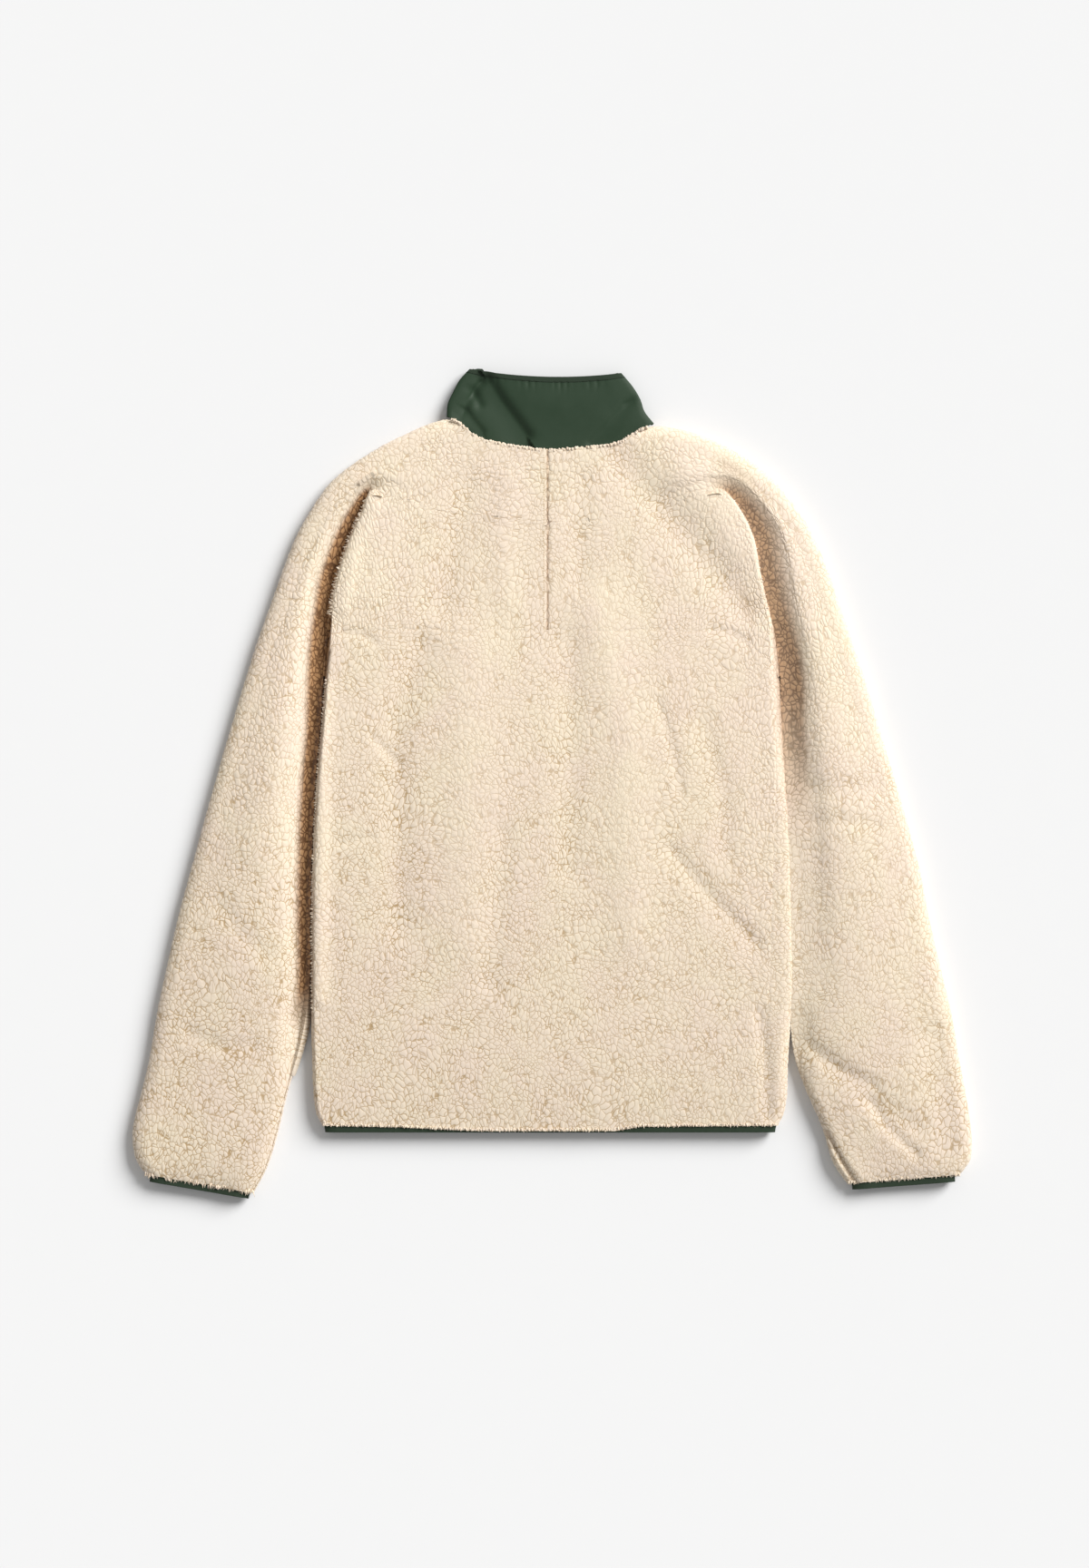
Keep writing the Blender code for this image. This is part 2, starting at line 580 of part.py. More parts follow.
def collar_section(t, wall, proud=0.0):
    """Round the collar at one height, from the zip's left side over the back to its right."""
    row = along(COLLAR, t)
    first = COLLAR[0]
    top, floor = row.top + proud, row.floor - proud
    middle_z = (top + floor) / 2
    left, right = Vector((row.left_x, row.left_y)), Vector((row.right_x, row.right_y))
    bend = 2.0 - 0.1 * t

    def under(side, corner):
        points = []
        for share in FRONT_SHARES:
            x = side * (ZIP_HALF_GAP + 0.1)
            x += (corner.x - side * COLLAR_FOLD_REACH - x) * share
            y = row.front_y + (corner.y - row.front_y) * share ** bend
            points.append(flat_under(x, y, wall, floor))
        return points

    def fold(corner, side):
        inward = Vector((-side, 0))
        points = [rolled(corner, inward, COLLAR_FOLD_REACH, floor, 0.5, wall, middle_z),
                  rolled(corner, inward, COLLAR_FOLD_REACH, top, 0.0, wall, middle_z),
                  rolled(corner, inward, COLLAR_FOLD_REACH, top, 0.5, wall, middle_z)]
        return points if side < 0 else list(reversed(points))

    upper = []
    for x, y in neck_seam()[1:-1]:
        share = (x - first.left_x) / (first.right_x - first.left_x)
        spot_x = row.left_x + (row.right_x - row.left_x) * share
        seam_y = y + SEAM_GAP + 0.1 - sagging(first, share)
        spot_y = sagging(row, share) + seam_y * max(0.0, 1 - t / 2) ** 2
        z = top + fold_lift(COLLAR_FOLDS, spot_x, spot_y)
        upper.append(flat_top(spot_x, spot_y, z, wall))
    return (under(-1, left) + fold(left, -1) + upper
            + fold(right, 1) + list(reversed(under(1, right))))


def make_collar(material, binding_material):
    last = COLLAR_BINDING_START
    sections = [collar_section(last * share, COLLAR_WALL) for share in shares(6)]
    make_wall("collar", sections, material)
    start = last + SEAM_GAP / 18.0
    end = len(COLLAR) - 1
    sections = [collar_section(start + (end - start) * share, COLLAR_BINDING_WALL, 0.4)
                for share in shares(2)]
    make_wall("collar_binding", sections, binding_material)


def make_hem_binding(material):
    """The folded tape round the hem, from one side of the zip to the other."""
    sections = []
    reach = EDGE_REACH - BINDING_INSET
    under_reach = UNDER_REACH - BINDING_INSET
    for y in (HEM_Y - SEAM_GAP, HEM_BINDING_END):
        left, right = side_edges(y)
        left, right = left + BINDING_INSET, right - BINDING_INSET
        section = []
        for share in FRONT_SHARES:
            x = -ZIP_HALF_GAP + (left + under_reach + ZIP_HALF_GAP) * share
            section.append(flat_under(x, y, BINDING_WALL, BINDING_INSET))
        edges = ((left, 1), (right, -1))
        for edge_x, way in edges:
            edge, inward = Vector((edge_x, y)), Vector((way, 0))
            top = back_top(edge_x + way * EDGE_REACH, HEM_Y) - BINDING_INSET
            roll = [rolled(edge, inward, under_reach, BINDING_INSET, 0.5, BINDING_WALL),
                    rolled(edge, inward, reach, top, 0.0, BINDING_WALL),
                    rolled(edge, inward, reach, top, 0.5, BINDING_WALL),
                    rolled(edge, inward, reach, top, 1.0, BINDING_WALL)]
            if way > 0:
                section += roll
                for share in shares(12)[1:-1]:
                    x = left + reach + (right - left - 2 * reach) * share
                    section.append(flat_top(x, y, back_top(x, HEM_Y) - BINDING_INSET,
                                            BINDING_WALL))
            else:
                section += list(reversed(roll))
        for share in reversed(FRONT_SHARES):
            x = ZIP_HALF_GAP + (right - under_reach - ZIP_HALF_GAP) * share
            section.append(flat_under(x, y, BINDING_WALL, BINDING_INSET))
        sections.append(section)
    return make_wall("hem_binding", sections, material)


def make_cuff_binding(name, rows, material):
    """The folded tape round a cuff."""
    last = rows[-1]
    joint = len(YOKE_SHARES) + len(CREASE_TURNS)
    ring = sleeve_section(rows, len(rows) - 1, BINDING_WALL, BINDING_INSET)[joint:]
    across = Vector((last.crease_x - last.outer_x, last.crease_y - last.outer_y)).normalized()
    down_arm = Vector((across.y, -across.x, 0))
    if down_arm.y > 0:
        down_arm.negate()
    sections = []
    for reach in (SEAM_GAP, SEAM_GAP + CUFF_BINDING_LENGTH):
        sections.append([(outer + down_arm * reach, inner + down_arm * reach)
                         for outer, inner in ring])
    return make_wall(name, sections, material, ring_from=0)


# ---------------------------------------------------------------- zip
def make_zip(tape_material, chain_material, metal_material):
    """The closed front zip on the underside, with its slider at the collar."""
    tape_in = CHAIN_HALF_WIDTH + 0.3
    for name, side in (("zip_tape_left", -1), ("zip_tape_right", 1)):
        ends = sorted((side * tape_in, side * (tape_in + TAPE_WIDTH)))
        make_block(name, [((ends[0], ZIP_FOOT_Y, TAPE_Z[0]), (ends[1], ZIP_HEAD_Y, TAPE_Z[1]))],
                   tape_material)
    post_y = SLIDER_FOOT_Y + SLIDER_LENGTH - POST_LENGTH
    box_end = ZIP_FOOT_Y + BOX_LENGTH
    make_block("zip_chain", [((-CHAIN_HALF_WIDTH, box_end + 0.4, CHAIN_Z[0]),
                              (CHAIN_HALF_WIDTH, post_y - 0.4, CHAIN_Z[1]))], chain_material)
    make_block("zip_box", [((-CHAIN_HALF_WIDTH, ZIP_FOOT_Y, CHAIN_Z[0] - 0.5),
                            (CHAIN_HALF_WIDTH, box_end, CHAIN_Z[1] + 0.5))], metal_material)
    make_slider(post_y, metal_material)
    make_pull_tab(metal_material)


def make_slider(post_y, material):
    """Two plates round the chain, a post between them, and a lug with the tab's pin."""
    head_y = SLIDER_FOOT_Y + SLIDER_LENGTH
    low, high = SLIDER_Z
    wide = SLIDER_HALF_WIDTH
    slider = make_block("zip_slider", [
        ((-wide, SLIDER_FOOT_Y, low), (wide, head_y, low + SLIDER_PLATE)),
        ((-wide, SLIDER_FOOT_Y, high - SLIDER_PLATE), (wide, head_y, high)),
        ((-1.6, post_y, low + 0.2), (1.6, head_y, high - 0.2)),
        ((-0.9, TAB_PIN_Y - 1.1, TAB_PIN_Z - 0.5), (0.9, TAB_PIN_Y + 1.1, low + 0.2)),
    ], material)
    unite(slider, make_pin("zip_slider_pin", TAB_PIN_RADIUS, TAB_HALF_WIDTH, 12, material),
          "UNION")


def make_pin(name, radius, half_length, sides, material):
    """A round bar along X on the pull tab's axis."""
    mesh = bmesh.new()
    bmesh.ops.create_cone(mesh, cap_ends=True, segments=sides, radius1=radius, radius2=radius,
                          depth=2 * half_length)
    turn = Vector((0, 0, 1)).rotation_difference(Vector((1, 0, 0))).to_matrix()
    bmesh.ops.rotate(mesh, cent=(0, 0, 0), matrix=turn, verts=mesh.verts)
    bmesh.ops.translate(mesh, vec=(0, TAB_PIN_Y, TAB_PIN_Z), verts=mesh.verts)
    return finish(name, mesh, material)


def make_pull_tab(material):
    """A flat tab with two eyes on the slider's pin."""
    plate_top = TAB_PIN_Z
    plate_low = plate_top - TAB_THICKNESS
    arm_in = 1.2
    root_y = TAB_PIN_Y - 2.6
    tip_y = TAB_PIN_Y - TAB_LENGTH
    tab = make_block("pull_tab", [
        ((-TAB_HALF_WIDTH, tip_y, plate_low), (TAB_HALF_WIDTH, root_y, plate_top)),
        ((-TAB_HALF_WIDTH, root_y - 0.3, plate_low), (-arm_in, TAB_PIN_Y, plate_top)),
        ((arm_in, root_y - 0.3, plate_low), (TAB_HALF_WIDTH, TAB_PIN_Y, plate_top)),
    ], material)
    unite(tab, make_pin("pull_tab_eyes", TAB_EYE_RADIUS, TAB_HALF_WIDTH, 16, material), "UNION")
    gap = make_block("pull_tab_gap", [((-arm_in, root_y, -3), (arm_in, TAB_PIN_Y + 3, 6))],
                     material)
    unite(tab, gap, "DIFFERENCE")
    hole = make_pin("pull_tab_hole", TAB_PIN_RADIUS + TAB_CLEARANCE, TAB_HALF_WIDTH + 1, 12,
                    material)
    unite(tab, hole, "DIFFERENCE")


# ---------------------------------------------------------------- the jacket
for thing in list(bpy.data.objects):
    bpy.data.objects.remove(thing)

fleece = cloth("fleece", CREAM, 0.95)
nylon = cloth("nylon", GREEN, 0.55)
binding_tape = cloth("binding_tape", GREEN, 0.7)
zip_tape = cloth("zip_tape", ZIP_GREEN, 0.8)
zip_teeth = cloth("zip_teeth", ZIP_GREEN, 0.4)
zip_metal = metal("zip_metal", DARK_METAL, 0.4)

make_sleeve("sleeve_left", LEFT_SLEEVE, fleece)
make_sleeve("sleeve_right", RIGHT_SLEEVE, fleece)
make_back(fleece)
make_front("front_left", LEFT_SLEEVE, -1, fleece)
make_front("front_right", RIGHT_SLEEVE, 1, fleece)
make_collar(nylon, binding_tape)
make_hem_binding(binding_tape)
make_cuff_binding("cuff_binding_left", LEFT_SLEEVE, binding_tape)
make_cuff_binding("cuff_binding_right", RIGHT_SLEEVE, binding_tape)
make_zip(zip_tape, zip_teeth, zip_metal)
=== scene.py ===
"""A deep-pile fleece jacket laid flat on its front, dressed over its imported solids.

The tables and lengths are millimetres on the floor plan, as the cutter measures: +X is the
wearer's right, +Y runs from the hem to the collar, +Z is up.  Meshes are made in metres.
"""

import math
from collections import namedtuple

import bmesh
import bpy
import numpy as np
from mathutils import Matrix, Vector


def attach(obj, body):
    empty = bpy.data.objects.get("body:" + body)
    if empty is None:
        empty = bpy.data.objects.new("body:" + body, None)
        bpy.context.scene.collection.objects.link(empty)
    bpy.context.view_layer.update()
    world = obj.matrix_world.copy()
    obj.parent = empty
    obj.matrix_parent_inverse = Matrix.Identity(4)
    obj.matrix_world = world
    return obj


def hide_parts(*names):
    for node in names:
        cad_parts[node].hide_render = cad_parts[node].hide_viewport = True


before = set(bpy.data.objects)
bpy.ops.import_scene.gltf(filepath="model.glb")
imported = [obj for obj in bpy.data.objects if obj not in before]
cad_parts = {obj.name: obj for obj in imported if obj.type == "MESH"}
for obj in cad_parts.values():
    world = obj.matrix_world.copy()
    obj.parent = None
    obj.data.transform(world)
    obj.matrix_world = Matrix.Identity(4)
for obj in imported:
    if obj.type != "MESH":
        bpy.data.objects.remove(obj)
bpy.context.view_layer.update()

# ============================================================ the table, light and camera
# A wide matt white table. Daylight from one large soft window stands at the upper right,
# and the camera hangs straight over the jacket on a long lens.
FLOOR_SIZE = 9.0
FLOOR_DROP = 0.0004
TABLE_WHITE = (0.782, 0.794, 0.818)
FRAME_WIDTH = 1.0836            # metres of table across the picture
FRAME_MIDDLE = (-0.0076, 0.0014)
CLOTH_HEIGHT = 0.015
CAMERA_HEIGHT = 5.0
SENSOR = 36.0
WINDOW_FROM = (0.74, 0.62, 0.62)
WINDOW_STRENGTH = 4.5
WINDOW_ANGLE = math.radians(34)
DAYLIGHT = (1.0, 0.985, 0.955, 1.0)
SKY_STRENGTH = 0.40


def node(tree, kind, inputs=None, **settings):
    """A node with its settings, and its inputs given as values or linked from sockets."""
    made = tree.nodes.new(kind)
    for name, value in settings.items():
        setattr(made, name, value)
    for key, value in (inputs or {}).items():
        if isinstance(value, bpy.types.NodeSocket):
            tree.links.new(value, made.inputs[key])
        else:
            made.inputs[key].default_value = value
    return made


def new_material(name, roughness, **shader_values):
    """A material whose even values sit on its Principled shader's own sockets."""
    material = bpy.data.materials.new(name)
    material.use_nodes = True
    shader = material.node_tree.nodes["Principled BSDF"]
    shader.inputs["Roughness"].default_value = roughness
    for key, value in shader_values.items():
        shader.inputs[key.replace("_", " ")].default_value = value
    return material, material.node_tree, shader


def show(name, mesh, *materials):
    """The object of a finished bmesh, at the origin."""
    data = bpy.data.meshes.new(name)
    mesh.to_mesh(data)
    mesh.free()
    for material in materials:
        data.materials.append(material)
    thing = bpy.data.objects.new(name, data)
    bpy.context.scene.collection.objects.link(thing)
    return thing


paint, tree, shader = new_material("table_paint", 0.9)
speckle = node(tree, "ShaderNodeTexNoise", {"Vector": node(
    tree, "ShaderNodeTexCoord").outputs["Object"], "Scale": 40.0, "Detail": 3.0})
tint = node(tree, "ShaderNodeMapRange", {"Value": speckle.outputs["Fac"], "To Min": 0.996,
                                         "To Max": 1.004})
white = node(tree, "ShaderNodeVectorMath", {0: TABLE_WHITE, "Scale": tint.outputs[0]},
             operation="SCALE")
tree.links.new(white.outputs[0], shader.inputs["Base Color"])
mesh = bmesh.new()
bmesh.ops.create_grid(mesh, x_segments=1, y_segments=1, size=FLOOR_SIZE / 2)
bmesh.ops.translate(mesh, vec=(0, 0, -FLOOR_DROP), verts=mesh.verts)
show("table", mesh, paint)

world = bpy.data.worlds.new("room")
world.use_nodes = True
world.node_tree.nodes["Background"].inputs["Color"].default_value = DAYLIGHT
world.node_tree.nodes["Background"].inputs["Strength"].default_value = SKY_STRENGTH
bpy.context.scene.world = world

window = bpy.data.lights.new("window", "SUN")
window.energy = WINDOW_STRENGTH
window.angle = WINDOW_ANGLE
window.color = DAYLIGHT[:3]
window_object = bpy.data.objects.new("window", window)
window_object.rotation_euler = Vector(WINDOW_FROM).to_track_quat("Z", "Y").to_euler()
bpy.context.scene.collection.objects.link(window_object)

camera = bpy.data.cameras.new("camera")
camera.sensor_fit = "HORIZONTAL"
camera.sensor_width = SENSOR
camera.lens = SENSOR * (CAMERA_HEIGHT - CLOTH_HEIGHT) / FRAME_WIDTH
camera_object = bpy.data.objects.new("camera", camera)
camera_object.location = (*FRAME_MIDDLE, CAMERA_HEIGHT)
bpy.context.scene.collection.objects.link(camera_object)
bpy.context.scene.camera = camera_object
bpy.context.scene.view_settings.view_transform = "Standard"

# ============================================================ fleece: sleeves and yoke
# Each sleeve and its half of the yoke are one piece of knitted pile cloth, cream, with a
# deep curled nap. The halves meet in the centre-back seam, and the arm is sewn into a tube
# from the underarm to the cuff.
MM = 0.001
PLAN_SHIFT = np.array((0.55, 2.716, 0.0))      # the plan's place in the frame
FLEECE_WALL = 4.6              # backing and pressed pile behind the outer surface
BODY_TOP = 17.2                # middle of the pile on top, where the jacket lies flattest
EDGE_HEIGHT = 9.0              # height of the outermost line of a rolled edge
EDGE_REACH = 17.0              # how far in from that line the top of the roll comes
UNDER_REACH = 9.5
LIP_REACH = 3.8                # the crease's side on the body, which is the crisp one
SLEEVE_LIP_REACH = 27.0        # its side on the sleeve, which slopes up softly
CREASE_DEEPER = (6.0, 2.0)     # than the table's floor, on the left and on the right
CREASE_LOWEST = 6.4
CUFF_DROP = 2.6                # the cloth thins towards the cuff
CUFF_DROP_LENGTH = 9.0
PILE_SPACING = 1.55            # distance between the mesh's points where the pile shows
CENTRE_SEAM_DIP = 0.6          # the pile parts at a seam, this deep
SEAM_DIP = 0.14
SEAM_DIP_WIDTH = 1.6
NECK_ROW = 3
UNDERARM_ROW = 12
YOKE_SHARES = (0, 0.22, 0.44, 0.65, 0.84, 1.0)     # yoke seam to the crease's lip
TURNS = (0.3, 0.62)                                # crease bottom to its lip
SLEEVE_SHARES = (0.2, 0.42, 0.64, 0.84, 1.0)       # crease's lip to the outer roll
CREST_SHARES = (0.95, 1.15, 0.9, 0.5, 0.1)

# Sleeve with its half of the yoke, a row for each section across it, from the centre-back
# seam (row 0) past the underarm (row 12) to the cuff (row 24).  outer: neck seam, shoulder,
# sleeve edge.  crease: the fold beside the body, then the sleeve's inner edge.  inner: the
# yoke seam.  under: the front seam.  floor: height of the crease.  crest: rise of the sleeve.
Section = namedtuple("Section", "outer_x outer_y crease_x crease_y inner_x inner_y "
                                "under_x under_y floor crest")
LEFT_SLEEVE = np.array([
    (-5.05, 331.0, -5.05, 262, -5.05, 151.8, -60, 300, 18.0, 0.0),
    (-41, 335.6, -50, 265, -48, 151.6, -60, 310, 18.0, 0.0),
    (-76, 344.5, -92, 268, -86, 151.8, -70, 330, 18.0, 0.0),
    (-104, 362.0, -130, 277, -115, 152.0, -96, 350, 18.0, 0.5),
    (-150, 345.5, -160, 287, -138, 152.2, -112, 334, 17.5, 1.5),
    (-190, 323.5, -181, 291, -158, 152.4, -124, 315, 15.5, 3.0),
    (-222, 298.0, -190, 273, -175, 152.6, -137, 291, 13.5, 4.5),
    (-244, 266.5, -200, 251, -189, 152.6, -150, 265, 13.0, 5.0),
    (-259, 237.0, -209, 228, -200, 152.0, -164, 238, 13.0, 5.0),
    (-271, 206.0, -216, 205, -209, 150.0, -179, 208, 13.0, 4.5),
    (-283, 172.0, -221.5, 178, -216, 144.0, -195, 176, 13.0, 4.0),
    (-295, 138.0, -225.5, 148, -222, 131.0, -212, 142, 12.0, 4.0),
    (-306, 103.0, -229.5, 106, -226.2, 104.0, -229.5, 106, 9.0, 4.0),
    (-319, 60.0, -233, 60, -233, 60, -233, 60, 9.0, 4.0),
    (-333, 12.0, -237.5, 12, -237.5, 12, -237.5, 12, 9.0, 4.0),
    (-347, -38.0, -240.5, -40, -240.5, -40, -240.5, -40, 9.0, 4.0),
    (-360, -86.0, -242.5, -90, -242.5, -90, -242.5, -90, 9.0, 3.5),
    (-373, -134.0, -243.5, -140, -243.5, -140, -243.5, -140, 9.0, 3.0),
    (-384, -182.0, -243.5, -192, -243.5, -192, -243.5, -192, 9.0, 3.0),
    (-393.5, -226.0, -245.5, -238, -245.5, -238, -245.5, -238, 9.0, 2.5),
    (-401, -272.0, -253.5, -273, -253.5, -273, -253.5, -273, 9.0, 2.0),
    (-410, -310.0, -264.5, -310, -264.5, -310, -264.5, -310, 9.0, 1.5),
    (-418.3, -346.0, -273, -346, -273, -346, -273, -346, 9.0, 1.0),
    (-415.5, -374.0, -284, -382, -284, -382, -284, -382, 9.0, 0.0),
    (-405, -390.0, -298, -408.5, -298, -408.5, -298, -408.5, 9.0, -1.5),
])
RIGHT_SLEEVE = np.array([
    (-5.05, 331.0, -5.05, 262, -5.05, 151.8, 60, 300, 18.0, 0.0),
    (28, 333.3, 34, 262, 34, 151.6, 60, 310, 18.0, 0.0),
    (64, 338.5, 76, 268, 76, 151.6, 70, 330, 18.0, 0.0),
    (99, 355.0, 116, 277, 108, 151.6, 92, 344, 18.0, 1.0),
    (146, 346.5, 146, 289, 132, 151.6, 108, 330, 17.5, 3.0),
    (190, 325.0, 172, 293, 150, 151.6, 122, 312, 15.5, 4.5),
    (222, 299.5, 187, 281, 166, 151.5, 136, 289, 14.0, 4.0),
    (245, 271.0, 202, 260, 180, 150.5, 150, 263, 13.5, 4.3),
    (261, 243.0, 210, 240, 190, 145.5, 164, 236, 13.5, 4.3),
    (275, 210.0, 216.5, 214, 199, 136.0, 179, 206, 13.5, 4.0),
    (287, 175.0, 222, 185, 208, 127.5, 195, 174, 13.0, 3.8),
    (299, 140.0, 226.5, 152, 218, 118.5, 212, 141, 12.0, 3.6),
    (311, 104.0, 228.5, 106, 224.4, 104.0, 228.5, 106, 9.0, 3.6),
    (324, 60.0, 231, 60, 231, 60, 231, 60, 9.0, 3.6),
    (338, 13.0, 234, 12, 234, 12, 234, 12, 9.0, 4.0),
    (353, -38.0, 236.7, -40, 236.7, -40, 236.7, -40, 9.0, 4.0),
    (366, -88.0, 238.7, -90, 238.7, -90, 238.7, -90, 9.0, 4.0),
    (375.5, -137.0, 240, -140, 240, -140, 240, -140, 9.0, 3.5),
    (387, -186.0, 241, -192, 241, -192, 241, -192, 9.0, 3.0),
    (398, -233.0, 240.5, -238, 240.5, -238, 240.5, -238, 9.0, 3.0),
    (404.5, -272.0, 241.5, -275, 241.5, -275, 241.5, -275, 9.0, 2.5),
    (411.5, -310.0, 254, -310, 254, -310, 254, -310, 9.0, 2.0),
    (417.2, -350.0, 269.5, -346, 269.5, -346, 269.5, -346, 9.0, 1.5),
    (415.8, -376.0, 279, -378, 279, -378, 279, -378, 9.0, 0.0),
    (405, -390.5, 293.5, -399, 293.5, -399, 293.5, -399, 9.0, -1.5),
])

LEFT_SLEEVE[13:19, [2, 4, 6]] += 3.0           # the pile closes the gaps beside the body
LEFT_SLEEVE[12, [2, 6]] += 1.3
RIGHT_SLEEVE[13:20, [2, 4, 6]] -= 3.5
RIGHT_SLEEVE[12, [2, 6]] -= 1.6
RIGHT_SLEEVE[5:12, 2] -= (5.0, 6.0, 8.0, 8.3, 10.0, 9.5, 6.0)

# Folds of the upper cloth, each a ridge or trough along three points of the plan
Fold = namedtuple("Fold", "x0 y0 x1 y1 x2 y2 lift half_width")
FOLDS = [Fold(*row) for row in (
    (16, 138, 18, 60, 17, -85, -1.3, 15),          # trough below the centre-back seam
    (-132, 134, -156, 60, -152, -140, -1.9, 17),   # trough down the left of the back
    (-86, 130, -84, 0, -92, -150, 1.7, 30),        # broad ridge left of the middle
    (42, 175, 74, 40, 76, -150, 1.8, 24),          # broad ridge right of the middle
    (70, 318, 128, 250, 190, 175, -2.2, 18),       # valley from the collar to the right arm
    (-86, 292, -100, 230, -110, 178, -1.4, 17),    # shallow valley on the left of the yoke
    (135, 300, 170, 262, 192, 228, 2.2, 20),       # raised cloth before the right crease
    (-150, 290, -172, 240, -190, 190, 1.3, 18),    # raised cloth before the left crease
    (120, -70, 160, -120, 200, -165, -1.0, 14),    # slanting pull towards the right side
    (255, -262, 300, -300, 362, -345, -1.7, 13),   # pull across the right cuff
    (380, -255, 390, -310, 394, -360, -2.2, 18),   # hollow along the right cuff's outer edge
    (240, -8, 285, -7, 330, -6, -1.2, 12),         # bend across the right sleeve
    (-250, 40, -275, 0, -300, -60, 1.2, 22),       # fullness of the left sleeve
    (105, 80, 120, 30, 127, -10, -0.9, 6),         # fine creases of the upper cloth
    (118, -68, 150, -105, 203, -160, -0.8, 7),
    (-178, 44, -166, 32, -154, 18, -0.8, 5),
    (-212, -60, -195, -57, -180, -55, -0.7, 5),
    (-50, -52, -55, -120, -62, -200, -1.2, 14),
    (30, 300, 26, 250, 28, 200, -1.0, 12),
    (-42, 300, -50, 240, -46, 180, 1.0, 14),
    (248, -258, 285, -285, 320, -301, -1.2, 7),
    (316, -318, 334, -344, 362, -370, -1.8, 6),
    (250, -40, 285, -38, 320, -42, -0.9, 8),
    (150, 60, 170, -10, 172, -70, -1.1, 12),
    (-208, 150, -190, 148, -178, 140, -0.9, 5),
    (-229, 95, -231, -60, -233, -215, 2.4, 8),     # plump edge of the back by the left sleeve
    (-178, 275, -197, 235, -210, 175, 2.2, 9),     # and of the yoke above it
    (192, 140, 176, 148, 160, 152, -1.0, 6),
    (-330, -120, -310, -150, -285, -170, -1.0, 10),
    (-360, -250, -330, -262, -300, -262, -1.0, 9),
    (206, -230, 212, -280, 214, -330, -1.5, 7),
    (273, -350, 286, -374, 301, -398, -3.4, 2.4),  # upper layer's edge over the lower, right
)]


def spline_weights(count, steps):
    """Weights of a smooth curve's rows at each step, counted in rows."""
    weights = np.zeros((len(steps), count))
    for line, step in enumerate(steps):
        i = min(int(step), count - 2)
        f = step - i
        shares = (-0.5 * f + f * f - 0.5 * f ** 3, 1 - 2.5 * f * f + 1.5 * f ** 3,
                  0.5 * f + 2 * f * f - 1.5 * f ** 3, -0.5 * f * f + 0.5 * f ** 3)
        for k, share in enumerate(shares):
            weights[line, min(max(i - 1 + k, 0), count - 1)] += share
    return weights


def along(rows, step):
    """The smooth curve through a table's rows."""
    return Section(*(spline_weights(len(rows), [step]) @ rows)[0])


def even_steps(rows, first, last, spacing):
    """Steps from row first to row last, evenly spaced along the sleeve's outer edge."""
    fine = np.linspace(first, last, 400)
    line = (spline_weights(len(rows), fine) @ rows)[:, :2]
    run = np.concatenate(([0], np.cumsum(np.hypot(*np.diff(line, axis=0).T))))
    count = max(2, round(run[-1] / spacing))
    return np.interp(np.linspace(0, run[-1], count + 1), run, fine)


def column_steps(cells):
    """Steps across a net, given how many cells each of its strips is cut into."""
    steps = [np.arange(count) / count + i for i, count in enumerate(cells)]
    return np.append(np.concatenate(steps), len(cells))


def fine_points(net, row_steps, steps):
    """The smooth surface through a net of points, at finer steps."""
    down = spline_weights(net.shape[0], row_steps)
    across = spline_weights(net.shape[1], steps)
    return np.einsum("rk,kcd,mc->rmd", down, net, across, optimize=True)


def unit(vector):
    return vector / np.hypot(*vector)


def turned(edge, inward, reach, turn, low, high):
    """A point of cloth turning from an edge line at height low to a flat at height high.

    Its last value tells how far the folds of the upper cloth reach it."""
    angle = turn * math.pi / 2
    spot = edge + inward * (reach * (1 - math.cos(angle)))
    lifted = math.sin(angle) if high > EDGE_HEIGHT else 0.0
    return (spot[0], spot[1], low + (high - low) * math.sin(angle), lifted)


def sloped(edge, inward, reach, share, low, high):
    """A point of cloth that rises softly from the bottom of a crease to a flat."""
    rise = share ** 2.6 * (2.2 - 1.2 * share)
    spot = edge + inward * (reach * share)
    return (spot[0], spot[1], low + (high - low) * rise, rise)


def laid(spot, height, lifted):
    return (spot[0], spot[1], height, lifted)


